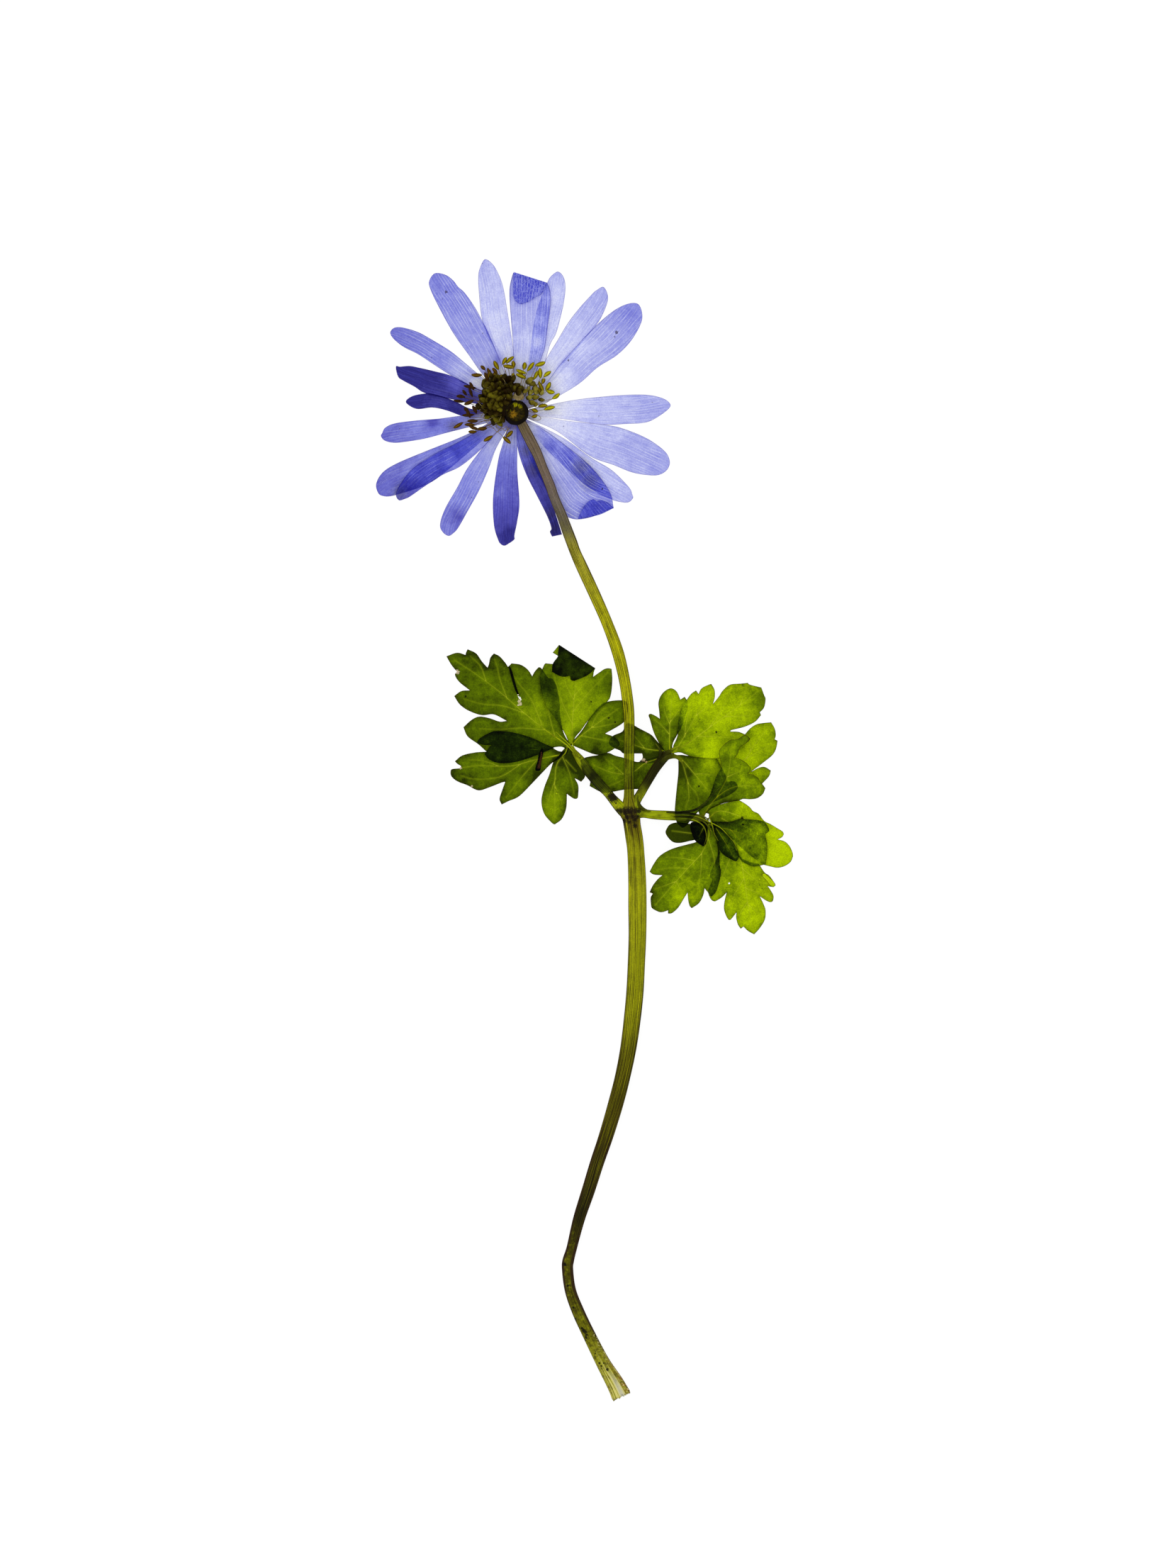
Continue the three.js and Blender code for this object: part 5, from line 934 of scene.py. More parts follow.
def carpel_spots(rng):
    """Place, foot height, size and paleness of each carpel: by the golden angle over the head, then the
    listed."""
    for index in range(CARPELS):
        reach = math.sqrt((index + 0.5) / CARPELS)
        turn = index * GOLDEN_ANGLE
        yield (HEAD[0] + math.cos(turn) * reach * HEAD_ACROSS, HEAD[1] - math.sin(turn) * reach * HEAD_ALONG,
               ON_HEAD[0] + HEAD_HIGH * (1 - reach * reach), ON_HEAD[1], 0.0)
    for x, y in numbers(TAIL)[0]:
        yield x, y, PAST_BUTTON[0] + 0.3 * rng.uniform(), PAST_BUTTON[1], 1.0
    for x, y in numbers(CORE)[0]:
        yield x, y, BETWEEN[0] + 0.3 * rng.uniform(), BETWEEN[1], 0.0


def make_carpel(piece, rng, x0, y0, z0, size, pale):
    """A small bulb that leans outward and ends in a blunt beak. Its radius falls from its belly to the beak
    as a power of a sine."""
    s = np.linspace(0, 1, CARPEL_LONG)[:, None]
    angle = turns(CARPEL_ROUND)
    lean = np.array([x0 - HEAD[0], y0 - HEAD[1]]) * rng.uniform(0.1, 0.32) + rng.uniform(-0.3, 0.3, 2)
    girth = np.sin(np.pi * s ** 0.75) ** 0.75 * (1 - 0.45 * s) * size * rng.uniform(0.75, 1.35)
    girth[[0, -1]] = 0
    tall = size * rng.uniform(1.9, 2.5)
    wave = 1 + 0.1 * np.cos(3 * angle + rng.uniform(0, 6)) + 0.2 * np.cos(2 * angle + rng.uniform(0, 6))
    # Painted shade: carpels grow darker toward the shaded heart of the head
    light = 1.0 if pale else min(1.0, 0.12 + 0.36 * math.hypot(x0 - SHADED_HEART[0], y0 - SHADED_HEART[1]))
    piece.add_rings(x0 + lean[0] * tall * s + girth * np.cos(angle) * wave,
                    y0 + lean[1] * tall * s - girth * np.sin(angle) * wave,
                    z0 - 0.4 * tall + tall * s, knob=rng.uniform(0.1, 1.0) * light, tip=s, pale=pale)


def make_carpels():
    """The head: a low dome studded with carpels, thin styles across it and a skin beside it."""
    piece = Piece("carpel_head")
    x, y, z = spun((0, 0), HEAD_DOME, 40, 0.03)
    x, y = HEAD[0] + x * HEAD_ACROSS * 0.9, HEAD[1] + y * HEAD_ALONG * 0.9
    by_button = np.hypot(x - BUTTON[0], y - BUTTON[1]) < BUTTON_RADIUS + DOME_GAP
    piece.add_rings(x, y, np.where(by_button, np.minimum(z, DOME_FLAT), z), knob=0.0, tip=0.3, pale=0.0)
    rng = np.random.default_rng(5)
    for x0, y0, *rest in list(carpel_spots(rng)):
        if math.hypot(x0 - BUTTON[0], y0 - BUTTON[1]) >= BUTTON_RADIUS + CARPEL_GAP:
            make_carpel(piece, rng, x0, y0, *rest)
    for text in STYLES:
        path = route(text, 0.1)
        share = np.linspace(0, 1, len(path))
        lift = 3.2 + 0.25 * np.sin(np.pi * share) + 0.25 * np.maximum(0, 1.6 - np.hypot(*(path - HEAD).T))
        piece.add(*thread(np.c_[path, 0.07 - 0.03 * share, lift]), knob=1.0, tip=0.55, pale=1.7)
    skin = cut_sheet(outline(MEMBRANE), [], 0.25, lambda x, y: 2.55 + 0.12 * ripple(x, y, 1.1, 4))
    piece.add(*skin, knob=1.0, tip=0.55, pale=2.0)
    piece.build("carpels", "carpel", carpel_finish())


def rgb(red, green, blue):
    """A colour as a shader reads it, from screen values of 0 to 255."""
    screen = np.array([red, green, blue]) / 255
    linear = np.where(screen <= 0.04045, screen / 12.92, ((screen + 0.055) / 1.055) ** 2.4)
    return (*linear.tolist(), 1.0)


class Signal:
    """What a node of a finish gives out. Sums, differences and products of it are nodes too."""

    def __init__(self, finish, socket):
        self.finish, self.socket = finish, socket

    def __add__(self, other):
        return self.finish.math("ADD", self, other)

    def __sub__(self, other):
        return self.finish.math("SUBTRACT", self, other)

    def __rsub__(self, other):
        return self.finish.math("SUBTRACT", other, self)

    def __mul__(self, other):
        return self.finish.math("MULTIPLY", self, other)

    def __abs__(self):
        return self.finish.math("ABSOLUTE", self)


class Finish:
    """One material, built up from its ground colour by coats. It holds the colour so far, and the place on
    the object in millimetres, where flat has no height."""

    def __init__(self, name, roughness=0.7, specular=0.03):
        self.material = bpy.data.materials.new(name)
        self.material.use_nodes = True
        self.tree = self.material.node_tree
        self.shader = self.tree.nodes["Principled BSDF"]
        self.shader.inputs["Roughness"].default_value = roughness
        self.shader.inputs["Specular IOR Level"].default_value = specular
        self.colour = None
        metres = self.node("TexCoord", out="Object")
        self.where = self.node("VectorMath", {0: metres, 3: 1 / MM}, operation="SCALE")
        self.flat = self.node("VectorMath", {0: self.where, 1: (1, 1, 0)}, operation="MULTIPLY")

    def put(self, socket, value):
        if isinstance(value, Signal):
            self.tree.links.new(value.socket, socket)
        elif value is not None:
            socket.default_value = value

    def node(self, kind, inputs=(), out=0, **settings):
        node = self.tree.nodes.new("ShaderNode" + kind)
        for key, value in settings.items():
            setattr(node, key, value)
        for key, value in dict(inputs).items():
            self.put(node.inputs[key], value)
        return Signal(self, node.outputs[out])

    def numbers(self, names):
        """The numbers that the mesh carries at each point."""
        return [self.node("Attribute", out="Fac", attribute_name=name) for name in names.split()]

    def math(self, operation, a, b=None):
        return self.node("Math", {0: a, 1: b}, operation=operation)

    def split(self, vector):
        parts = self.node("SeparateXYZ", {0: vector}).socket.node.outputs
        return [Signal(self, part) for part in parts]

    def range(self, value, low, high, out_low=0.0, out_high=1.0, kind="SMOOTHSTEP"):
        inputs = {0: value, 1: low, 2: high, 3: out_low, 4: out_high}
        return self.node("MapRange", inputs, interpolation_type=kind)

    def rise(self, value, low, high, top=1.0):
        """From nothing at low to top at high."""
        return self.range(value, low, high, 0.0, top)

    def fade(self, value, low, high, top=1.0):
        """From top at low to nothing at high."""
        return self.range(value, low, high, top, 0.0)

    def mix(self, share, a, b, kind="MIX"):
        return self.node("Mix", {0: share, 6: a, 7: b}, out=2, data_type="RGBA", blend_type=kind)

    def vector(self, x, y, z=0.0):
        return self.node("CombineXYZ", {0: x, 1: y, 2: z})

    def noise(self, where, scale, detail=2.0, rough=0.5, bend=0.0):
        inputs = {"Vector": where, "Scale": scale, "Detail": detail, "Roughness": rough, "Distortion": bend}
        return self.node("TexNoise", inputs)

    def sway(self, where, scale, detail=2.0, rough=0.5):
        """Noise to both sides of nothing."""
        return self.noise(where, scale, detail, rough) - 0.5

    def cells(self, where, scale=1.0, feature="DISTANCE_TO_EDGE"):
        return self.node("TexVoronoi", {"Vector": where, "Scale": scale}, out="Distance", feature=feature)

    def specks(self, where, scale, inner, outer, top):
        """Small round specks by chance."""
        return self.fade(self.cells(where, scale, "F1"), inner, outer, top)

    def marks(self, text, inner=0.75, outer=1.1):
        """1 on measured spots of the sheet, given as x, y and radius in millimetres, with ragged edges that
        fade from the inner to the outer share of the radius."""
        nearest = None
        for x, y, radius in numbers(text)[0]:
            at = (x - CENTRE[0], CENTRE[1] - y, 0.0)
            away = self.node("VectorMath", {0: self.flat, 1: at}, out="Value", operation="DISTANCE")
            share = self.math("DIVIDE", away, radius)
            nearest = share if nearest is None else self.math("MINIMUM", nearest, share)
        return self.fade(nearest + self.sway(self.flat, 5.5, 3.0, 0.7) * 2.2, inner, outer)

    def ramp(self, value, *stops):
        """A colour by a number: each stop is the number and three screen values."""
        ramp = self.node("ValToRGB", {0: value})
        elements = ramp.socket.node.color_ramp.elements
        while len(elements) < len(stops):
            elements.new(0.5)
        for element, (at, *screen) in zip(elements, stops):
            element.position = at
            element.color = rgb(*screen)
        return ramp

    def coat(self, share, *colour):
        """Lays a colour over the one so far: screen values, or a colour that was worked out."""
        self.colour = self.mix(share, self.colour, rgb(*colour) if len(colour) == 3 else colour[0])

    def tint(self, red, green, blue, share=1.0):
        """Multiplies the colour so far."""
        self.colour = self.mix(share, self.colour, self.vector(red, green, blue), "MULTIPLY")

    def deepen(self, layers):
        """Light that passes through several layers is tinted by each: the colour to the power of the
        layers."""
        self.colour = self.node("Gamma", {0: self.colour, 1: layers})

    def behind(self, first, second):
        """How many layers more the light has passed: those whose edges lie round the point."""
        one, two = self.numbers("behind behind_two")
        return self.rise(one, -0.03, 0.03, first) + self.rise(two, -0.03, 0.03, second)

    def finish(self, bump, height):
        self.put(self.shader.inputs["Base Color"], self.colour)
        relief = self.node("Bump", {"Height": bump, "Strength": 0.5, "Distance": height * MM})
        self.put(self.shader.inputs["Normal"], relief)
        return self.material


def tepal_veins(f, drift, along, share, seed):
    """1 on the veins of a tepal: one along each side of every lane, and one that leaves it at a place of the
    lane's own and bends to the lane's middle."""
    lanes = drift * (1 / VEIN_LANE) + seed
    lane, across = f.math("FLOOR", lanes), f.math("FRACT", lanes)
    chance = {0: f.vector(lane, seed)}
    begins = f.node("TexWhiteNoise", chance, out="Value") * 0.6 + 0.08
    side = f.math("GREATER_THAN", f.split(f.node("TexWhiteNoise", chance, out="Color"))[1], 0.5)
    bend = f.rise(share - begins, 0.0, 0.3, 0.5)
    main = f.math("MINIMUM", across, 1.0 - across)
    branch = abs(abs(side - across) - bend)
    patchy = f.noise(f.vector(lane * 3.7, along * 0.45, seed), 1.0)
    lines = f.math("MAXIMUM", f.fade(main, 0.01, 0.09), f.fade(branch, 0.005, 0.075, 0.75))
    return lines * f.range(patchy, 0.3, 0.62, 0.15, 1.0)


def tepal_finish():
    """Blue tepals: fine pale veins that run along them and part in long meshes, or dark ones where the blue
    is deep, whitish roots, darker tips, margins darkened by a painted outline of shade, and a deeper blue of
    painted shade wherever two lie on each other, as the light passes through both."""
    f = Finish("blue_tepal")
    along, lane, deep, share, edge, seed, net = f.numbers("along lane deep share edge seed net")
    tone = deep + f.sway(f.where, 0.5, 3.0, 0.6) * 0.3 + f.sway(f.where, 1.6, 3.0, 0.7) * 0.26
    tone = tone + f.rise(share, 0.5, 1.0, 0.15) - f.fade(share, 0.12, 0.55, 0.34)
    f.colour = f.ramp(f.range(tone, -0.25, 1.0, kind="LINEAR"), (0.0, 236, 238, 253), (0.2, 202, 206, 248),
                      (0.33, 172, 176, 235), (0.54, 130, 134, 220), (0.74, 88, 86, 184), (1.0, 46, 42, 126))
    weave = f.noise(f.vector(lane * 6.5, along * 0.16, seed), 1.0, 3.0, 0.75)
    f.coat(f.rise(weave, 0.45, 0.7, 0.3), 90, 94, 208)
    f.coat(f.rise(weave, 0.46, 0.28, 0.3) * f.range(deep, 0.3, 0.7, 1.0, 0.1), 224, 226, 252)
    drift = lane + f.sway(f.vector(lane * 0.6, along * 0.16, seed), 1.0) * 0.6
    veins = tepal_veins(f, drift, along, share, seed) * f.range(share, 0.84, 0.99, 1.0, 0.3)
    short_cells = f.cells(f.vector(lane * 3.0, along * 1.7, seed))
    veins = f.math("MAXIMUM", veins, net * f.fade(short_cells, 0.0, 0.12, 0.75))
    f.coat(veins * f.fade(deep, 0.15, 0.6, 0.88), 222, 226, 254)
    ink = f.mix(f.rise(deep, 0.6, 1.0), rgb(54, 48, 156), rgb(30, 26, 92))
    f.coat(veins * f.rise(deep, 0.4, 0.65, 0.8), ink)
    grain = f.range(f.noise(f.where, 5.5, 2.0, 0.7), 0.3, 0.7, 0.88, 1.1)
    f.tint(grain, grain, grain * 0.5 + 0.5)
    # Painted shade: a thin dark outline along each tepal's edge
    f.coat(f.rise(edge, -0.1, -0.01, 0.42), 96, 74, 158)
    f.coat(f.specks(f.where, 0.42, 0.03, 0.055, 0.5), 56, 44, 96)
    f.coat(f.marks(TEPAL_SPOTS) * 0.75, 46, 28, 44)
    # Painted shade: deeper blue where other tepals overlap, as light passing through several layers
    f.deepen(f.behind(0.75, 0.6) * f.rise(share, 0.1, 0.34) + 1.0)
    f.tint(0.84, 0.8, 0.58, f.marks(TEPAL_DUSK, 0.0, 1.3))
    return f.finish(veins, 0.03)


def root_finish():
    """The pale ground of the flower, where the tepals meet."""
    f = Finish("pale_root")
    f.colour = f.mix(f.noise(f.where, 1.1, 3.0, 0.6), rgb(216, 218, 248), rgb(168, 170, 222))
    return f.finish(f.noise(f.where, 3.0), 0.05)


def leaf_finish(name, dull, middling, vivid, heart, clarity):
    """Cut green leaf: thin yellow veins that fade to their ends, a fine grain, a thin brown outline of
    painted shade along the margin, dark specks, and painted shade, near black, where the light passes through
    several layers that lie on each other."""
    f = Finish(name)
    edge, vein, root, bright, main, behind, own = f.numbers("edge vein root bright main behind layers")
    tone = bright + f.sway(f.where, 0.3, 3.0, 0.6) * 0.8 + f.sway(f.where, 1.1, 4.0, 0.75) * 0.88
    tone = tone + f.fade(root, 1.0, 10.0, heart) - f.fade(edge, 0.0, 0.7, 0.15) + f.fade(main, 0.1, 1.5, 0.12)
    f.colour = f.ramp(tone, (0.0, *dull), (0.45, *middling), (1.0, *vivid))
    fine = f.noise(f.where, 6.0, 3.0, 0.75)
    grain = f.range(fine, 0.32, 0.68, 0.77, 1.23)
    f.tint(grain, grain, 1.0)
    f.coat(f.fade(vein, 0.06, 0.3, 0.2), 150, 170, 10)
    f.coat(f.fade(vein, 0.01, 0.075, clarity), 196, 202, 46)
    # Painted shade: a thin dark brown outline along the edge, fainter where the segment lies on others
    f.coat(f.fade(edge, 0.02, 0.1, 0.7) * f.range(behind, -0.1, 0.12, 1.0, 0.15), 60, 42, 4)
    f.coat(f.specks(f.where, 0.6, 0.03, 0.065, 0.7), 36, 38, 2)
    aside = f.node("VectorMath", {0: f.where, 1: (7.0, 3.0, 0.0)})
    f.coat(f.specks(aside, 0.4, 0.02, 0.05, 0.7), 196, 214, 20)
    f.coat(f.marks(LEAF_SCARS) * 0.75, 214, 196, 160)
    f.coat(f.marks(LEAF_DOTS) * 0.9, 14, 14, 2)
    f.coat(f.marks(LEAF_HOLES), 246, 246, 240)
    # Painted shade: darker, toward black, where light passes through several layers
    layers = own + f.behind(0.66, 0.5)
    f.deepen(layers)
    f.tint((layers - 1.0) * 0.2 + 1.0, 1.0, 1.0)
    f.coat(f.marks(LEAF_SPLINTER, 0.0, 1.2) * 0.8, 70, 42, 22)
    return f.finish(f.rise(vein, 0.0, 0.2) + fine, 0.04)


def cut_end(f, y, side, run):
    """The pale, mottled cut end of the stem: cream stripes, brown mottles with flakes on the right, and the
    pith."""
    tail = f.rise(y, 189.0, 195.0)
    cream = f.rise(f.noise(f.vector(side * 4.5, run * 0.1, 8.0), 1.0), 0.5, 0.62, 0.7)
    f.coat(tail * cream, 232, 222, 132)
    right = tail * f.fade(side, -0.75, -0.35, 0.8)
    f.coat(right * f.rise(f.noise(f.where, 2.2, 3.0, 0.7), 0.45, 0.6), 120, 76, 20)
    flakes = f.rise(f.noise(f.where, 3.4, 2.0, 0.6), 0.55, 0.63)
    f.coat(right * f.rise(y, 193.5, 195.5) * flakes, 232, 208, 140)
    above = f.rise(y, 187.0, 189.5) * f.rise(y, 193.0, 191.0)
    f.coat(above * flakes * f.rise(side, -0.4, -0.7, 0.8), 214, 206, 130)
    f.coat(f.rise(y, 192.5, 196.5) * f.fade(abs(side + 0.15), 0.1, 0.36, 0.8), 206, 204, 176)


def lower_stem(f, y, side):
    """Moss and dark margins of the lower stem, and the painted shade along the sides of the whole stem, which
    fades on the left of the cut end.
    """
    low = f.rise(y, 172.0, 177.0)
    mossy = f.noise(f.where, 1.5, 4.0, 0.7)
    f.coat(low * f.rise(mossy, 0.48, 0.62, 0.6), 44, 34, 8)
    f.coat(low * f.rise(mossy, 0.46, 0.34, 0.5), 150, 154, 16)
    margin = (mossy - 0.5) * 0.7 + side + f.rise(y, 181.0, 186.0, 0.25)
    f.coat(low * f.range(y, 187.0, 192.0, 0.85, 0.1) * f.rise(margin, -0.28, -0.55), 46, 28, 18)
    f.coat(low * f.fade(y, 180.0, 184.0, 0.8) * f.rise(margin, 0.5, 0.72), 46, 30, 18)
    # Painted shade along both sides of the round stem, narrower near y 170
    inner = f.range(abs(y - 170.0), 6.0, 19.0, 0.5, 0.86)
    clean = 1.0 - f.rise(y, 184.0, 188.0, 0.8) * f.rise(side, 0.0, 0.2)
    f.coat(f.rise(abs(side), inner, 1.0, 0.8) * clean, 48, 28, 12)


def stem_finish():
    """Ribbed green stem: dark grooves and light ridges along it, painted shade along its sides, a near black
    ring at the node with dark streaks below it, measured flaws, a pale, mottled cut end, and painted shade
    where it lies over leaves."""
    f = Finish("ribbed_stem", 0.6, 0.05)
    y = CENTRE[1] - f.split(f.where)[1]
    top, bottom = STEM_COLOURS[0][0], STEM_COLOURS[-1][0]
    stops = [((at - top) / (bottom - top), *screen) for at, *screen in STEM_COLOURS]
    f.colour = f.ramp(f.range(y, top, bottom, kind="LINEAR"), *stops)
    run, side = f.numbers("run side")
    lanes = f.cells(f.vector(side * 2.9, run * 0.012))
    thin = f.cells(f.vector(side * 6.0, run * 0.03, 3.0))
    hair = f.noise(f.vector(side * 16.0, run * 0.12, 4.0), 1.0)
    calm = f.range(y, 160.0, 171.0, 1.0, 0.3)
    broken = f.range(f.noise(f.vector(side, run * 0.35, 9.0), 1.0), 0.35, 0.6, 0.35, 1.0)
    broken = broken * f.range(y, 73.0, 78.0, 0.5, 1.0) * calm
    shine = f.mix(f.rise(y, 73.0, 78.0), rgb(176, 160, 140), rgb(224, 220, 14))
    f.coat(f.rise(hair, 0.5, 0.68, 0.35) * calm, shine)
    f.coat(f.rise(f.noise(f.where, 0.7, 3.0, 0.6), 0.5, 0.75, 0.175), 70, 66, 4)
    f.coat(f.fade(thin, 0.0, 0.16, 0.5) * broken, 60, 50, 2)
    f.coat(f.fade(lanes, 0.0, 0.11, 0.85) * broken, 44, 34, 2)
    fresh = f.range(abs(y - 167.0), 8.0, 26.0, 0.1, 1.0) * f.range(y, 73.0, 78.0, 0.12, 1.0)
    wander = f.sway(f.vector(run * 0.06, 0.0), 1.0, 1.0) * 0.5
    for groove in STEM_GROOVES:
        away = abs(side + wander - groove)
        f.coat(f.fade(away, 0.015, 0.07, 0.8) * broken, 50, 36, 4)
        f.coat(f.fade(abs(away - 0.13), 0.0, 0.06, 0.35) * fresh, 196, 198, 36)
    grain = f.range(f.noise(f.where, 4.5, 2.0, 0.7), 0.3, 0.7, 0.84, 1.14)
    f.tint(grain, grain, 1.0)
    lower_stem(f, y, side)
    f.coat(f.fade(y, 115.0, 121.0, 0.5) * f.rise(side, 0.5, 0.1) * f.rise(y, 114.0, 115.0), 84, 66, 8)
    streaks = f.rise(f.noise(f.vector(side * 3.6, run * 0.3, 6.0), 1.0, 3.0), 0.42, 0.58)
    f.coat(f.fade(y, 114.6, 119.5, 0.9) * f.rise(y, 114.0, 114.6) * streaks, 34, 28, 4)
    cut_end(f, y, side, run)
    f.coat(f.marks(STEM_BLOTS) * 0.92, 14, 12, 8)
    f.coat(f.marks(NODE_BAND, 0.35, 1.15) * 0.93, 24, 14, 10)
    # Painted shade where the stem lies over leaves, as light through several layers
    f.deepen(f.behind(0.5, 0.3) + 1.0)
    return f.finish(f.rise(lanes, 0.0, 0.2) - f.fade(thin, 0.0, 0.2, 0.5), 0.1)


def stalk_finish():
    """Leaf stalks: green with light and dark stripes and painted shade along their sides, some of them dark
    as a whole, and painted shade where they lie over other leaves.
    """
    f = Finish("leaf_stalk", 0.6, 0.05)
    run, side, dusk = f.numbers("run side dusk")
    bright = f.mix(f.rise(f.noise(f.where, 0.8), 0.4, 0.65), rgb(154, 168, 8), rgb(110, 118, 4))
    f.colour = f.mix(dusk, bright, rgb(32, 32, 2))
    lanes = f.cells(f.vector(side * 2.3, run * 0.05))
    hair = f.noise(f.vector(side * 7.0, run * 0.2, 2.0), 1.0)
    f.coat(f.rise(hair, 0.5, 0.7) * f.range(dusk, 0.0, 0.9, 0.25, 0.05), 206, 206, 6)
    f.coat(f.fade(lanes, 0.0, 0.1, 0.42), 40, 34, 2)
    f.coat(f.marks(STALK_LIGHTS, 0.0, 1.3) * 0.6, 186, 190, 16)
    # Painted shade along both sides of each stalk
    f.coat(f.rise(abs(side), 0.84, 0.99, 0.7), 46, 28, 6)
    f.coat(f.math("MAXIMUM", f.marks(STALK_BLOTS), f.marks(NODE_BAND, 0.35, 1.15)) * 0.95, 18, 10, 8)
    # Painted shade where a stalk lies over another leaf
    f.deepen(f.behind(0.7, 0.4) + 1.0)
    return f.finish(f.rise(lanes, 0.0, 0.25), 0.06)


def button_finish():
    """The receptacle: a near black rim round a mottled brown dish with yellow green and ochre flecks."""
    f = Finish("receptacle", 0.5, 0.04)
    centre = (BUTTON[0] - CENTRE[0], CENTRE[1] - BUTTON[1], 0.0)
    local = f.node("VectorMath", {0: f.flat, 1: centre}, operation="SUBTRACT")
    radius = f.node("VectorMath", {0: local}, out="Value", operation="LENGTH")
    x, y, _ = f.split(local)
    mottle = f.noise(f.where, 1.9, 4.0, 0.7, 0.5)
    f.colour = f.ramp(mottle, (0.32, 14, 10, 2), (0.5, 38, 32, 2), (0.62, 68, 54, 3), (0.76, 128, 118, 4))
    for at_x, at_y, size, screen in BUTTON_FLECKS:
        away = f.node("VectorMath", {0: local, 1: (at_x, at_y, 0.0)}, out="Value", operation="DISTANCE")
        f.coat(f.fade(away + f.sway(f.where, 3.4) * 0.9, size * 0.5, size, 0.8), *screen)
    rays = f.noise(f.vector(f.math("ARCTAN2", y, x) * 5.0, radius * 0.6), 1.0, 1.0)
    f.coat(f.rise(rays, 0.5, 0.62, 0.6), 22, 14, 2)
    f.coat(f.rise(radius + f.sway(f.where, 1.2) * 0.5, 1.12, 1.42, 0.97), 14, 8, 6)
    return f.finish(mottle, 0.15)


def anther_finish():
    """Anthers: olive yellow with a painted highlight along the middle and painted brown shade on the sides
    and ends, or dark brown.
    """
    f = Finish("anther", 0.55, 0.05)
    dark, middle, lengthwise = f.numbers("dark middle lengthwise")
    middle = abs(middle)
    f.colour = f.ramp(dark, (0.0, 154, 146, 0), (0.3, 118, 98, 0), (0.6, 84, 50, 2), (0.8, 52, 28, 6),
                      (1.0, 34, 16, 6))
    # Painted highlight along the middle of each anther
    line = f.mix(0.65, f.colour, f.ramp(dark, (0.0, 220, 218, 8), (0.45, 168, 152, 0), (0.8, 60, 32, 4)))
    f.coat(f.fade(middle, 0.04, 0.24, 0.95), line)
    # Painted shade toward the sides of each anther
    f.coat(f.rise(middle, 0.32, 0.45, 0.27), 60, 44, 0)
    f.coat(f.rise(middle, 0.72, 0.96, 0.9), 50, 30, 2)
    f.coat(f.rise(f.noise(f.where, 3.0), 0.5, 0.7, 0.45), 72, 50, 2)
    # Painted shade at the ends of each anther
    f.coat(f.rise(abs(lengthwise - 0.5), 0.36, 0.5, 0.75), 52, 34, 4)
    return f.finish(f.noise(f.where, 7.0), 0.04)


def filament_finish():
    """Filaments: pale greenish threads, browner on the dark side."""
    f = Finish("filament")
    f.colour = f.ramp(*f.numbers("dark"), (0.0, 170, 162, 140), (0.5, 132, 112, 96), (1.0, 88, 66, 62))
    grain = f.noise(f.where, 2.0)
    f.coat(f.rise(grain, 0.4, 0.7, 0.5), 96, 80, 56)
    return f.finish(grain, 0.01)


def carpel_finish():
    """Carpels: dark olive bulbs with a painted highlight on their upper parts and painted shade in the gaps
    at their feet, paler ones past the button, and a cream skin."""
    f = Finish("carpel", 0.6, 0.04)
    knob, tip, pale = f.numbers("knob tip pale")
    dusk = f.ramp(knob, (0.0, 24, 15, 1), (0.3, 42, 28, 4), (0.65, 68, 56, 8), (1.0, 112, 104, 20))
    light = f.ramp(knob, (0.0, 84, 72, 14), (0.5, 132, 120, 34), (1.0, 166, 156, 70))
    f.colour = f.mix(f.rise(pale, 0.0, 1.0), dusk, light)
    grain = f.noise(f.where, 2.6, 3.0, 0.7)
    # Painted highlight on the upper part of each carpel
    f.coat(f.rise(tip, 0.5, 0.85) * f.range(grain, 0.36, 0.62, 0.2, 1.0) * knob, 116, 110, 14)
    # Painted shade at the feet of the carpels, in the gaps between them
    f.coat(f.rise(tip, 0.6, 0.3, 0.85), 26, 17, 2)
    f.coat(f.rise(tip, 0.9, 0.99, 0.5), 30, 22, 0)
    stain = f.noise(f.where, 1.3, 4.0, 0.75)
    f.coat(f.rise(stain, 0.42, 0.64, 0.85) * f.range(pale, 0.0, 1.0, 1.0, 0.5), 28, 14, 2)
    f.coat(f.rise(stain, 0.46, 0.28, 0.6), 112, 110, 24)
    f.coat(f.rise(pale, 1.0, 2.0), f.mix(f.rise(grain, 0.35, 0.65), rgb(158, 142, 98), rgb(106, 88, 48)))
    return f.finish(grain, 0.08)


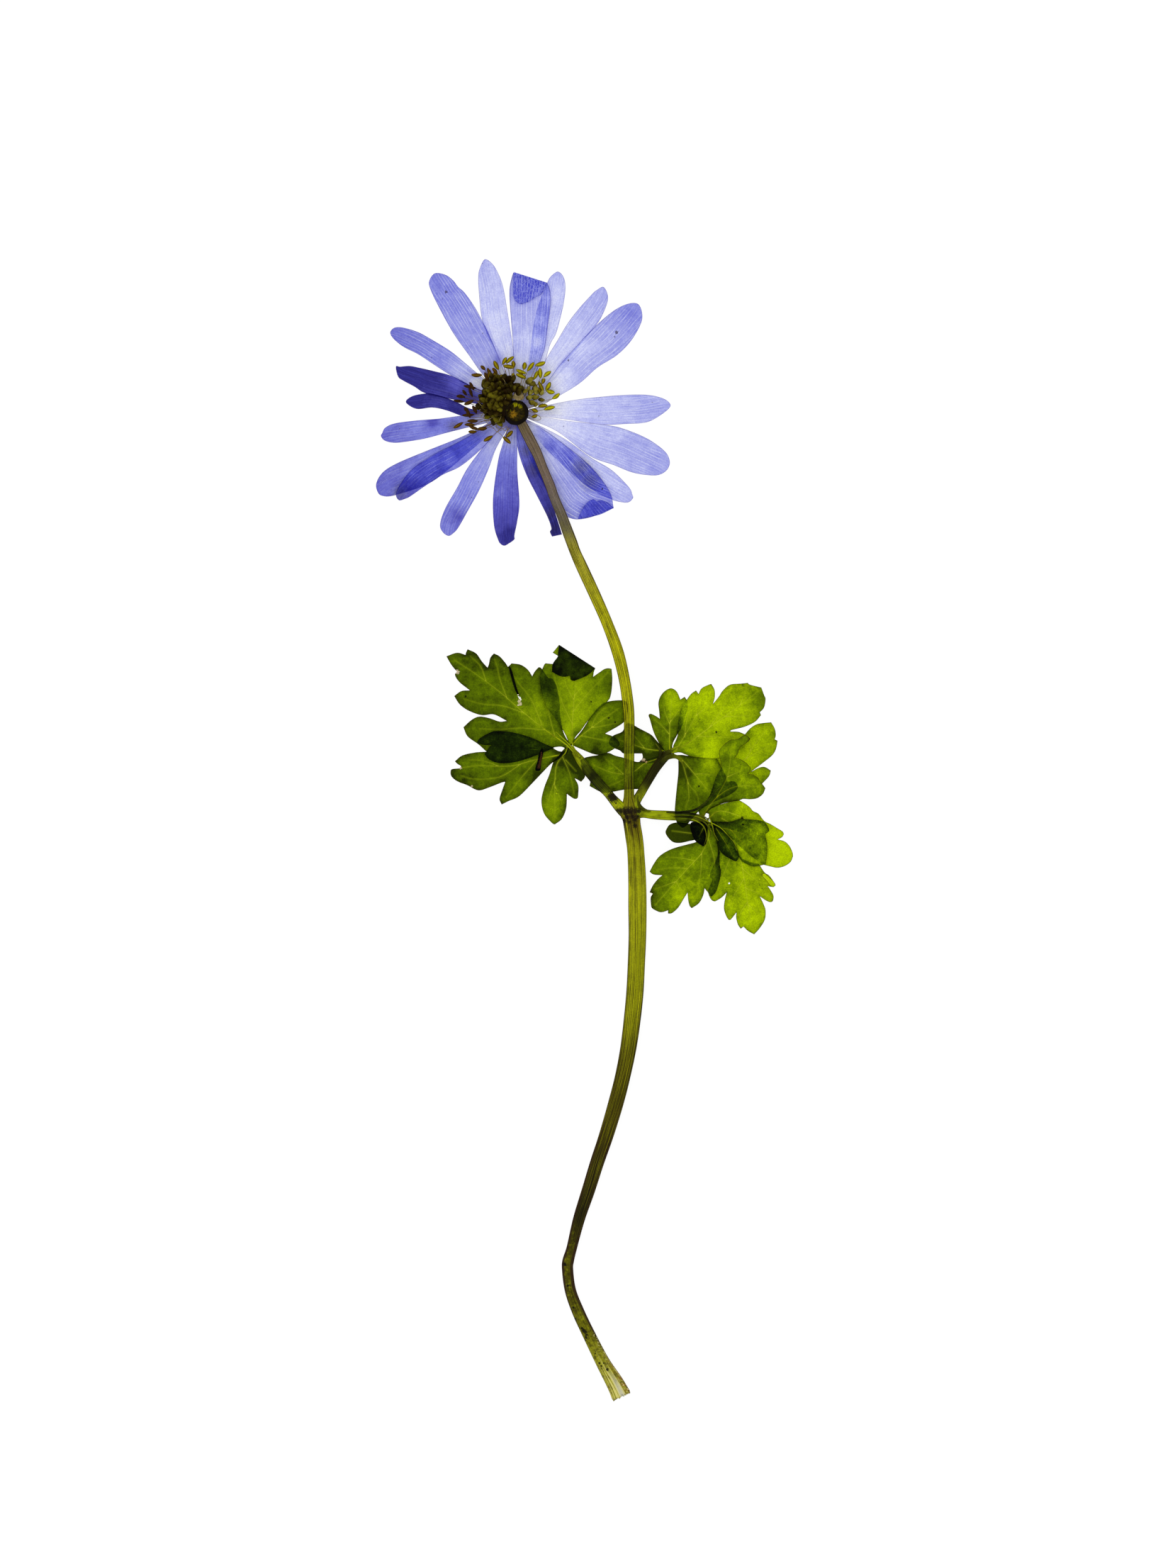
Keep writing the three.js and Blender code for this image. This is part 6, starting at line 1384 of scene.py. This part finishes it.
def make_flower():
    shapes = {name + str(index): outline(segment[3]) for name, leaf in LEAVES.items()
              for index, segment in enumerate(leaf[0])}
    dark_green = leaf_finish("dark_leaf", (37, 48, 0), (87, 109, 0), (141, 165, 2), 0.12, 0.46)
    lime_green = leaf_finish("lime_leaf", (46, 58, 0), (100, 124, 0), (176, 202, 0), -0.2, 0.62)
    skin = stalk_finish()
    for name in LEAVES:
        make_leaf(name, dark_green if name == "left" else lime_green, skin, shapes)
    for name in LEAVES:
        make_stalk(name, [loop for key, loop in shapes.items() if not key.startswith(name)], skin)
    make_stem(list(shapes.values()))
    make_button()
    make_tepals()
    make_stamens()
    make_carpels()


def make_table():
    """A plain white table that glows like a light box."""
    bpy.ops.mesh.primitive_plane_add(size=6, location=(0, 0, -0.0003))
    table = bpy.context.object
    table.name = "table"
    top = bpy.data.materials.new("white_table")
    top.use_nodes = True
    skin = top.node_tree.nodes["Principled BSDF"].inputs
    skin["Base Color"].default_value = (0.12, 0.12, 0.12, 1)
    skin["Specular IOR Level"].default_value = 0.0
    skin["Emission Color"].default_value = (1, 1, 1, 1)
    skin["Emission Strength"].default_value = 0.92
    table.data.materials.append(top)


def make_light():
    """A pale room, and one large soft lamp to the upper left."""
    world = bpy.data.worlds.new("soft_room")
    world.use_nodes = True
    room = world.node_tree.nodes["Background"].inputs
    room["Color"].default_value = (1, 1, 1, 1)
    room["Strength"].default_value = 0.84
    bpy.context.scene.world = world
    lamp = bpy.data.lights.new("soft_lamp", "AREA")
    lamp.shape = "DISK"
    lamp.size = 0.5
    lamp.energy = 1.2
    holder = bpy.data.objects.new("soft_lamp", lamp)
    holder.location = LAMP_PLACE
    holder.rotation_euler = (-Vector(LAMP_PLACE)).to_track_quat("-Z", "Y").to_euler()
    bpy.context.collection.objects.link(holder)


def make_camera():
    """A camera that looks straight down, so high that the whole sheet fills its picture."""
    lens = bpy.data.cameras.new("camera")
    lens.sensor_fit = "VERTICAL"
    lens.sensor_height = 36
    lens.lens = 150
    lens.clip_end = 20
    camera = bpy.data.objects.new("camera", lens)
    distance = SHEET[1] * lens.lens / lens.sensor_height
    camera.location = ((SHEET[0] / 2 - CENTRE[0]) * MM, (CENTRE[1] - SHEET[1] / 2) * MM, distance * MM)
    bpy.context.collection.objects.link(camera)
    bpy.context.scene.camera = camera
    bpy.context.scene.view_settings.view_transform = "Standard"


make_flower()
make_table()
make_light()
make_camera()
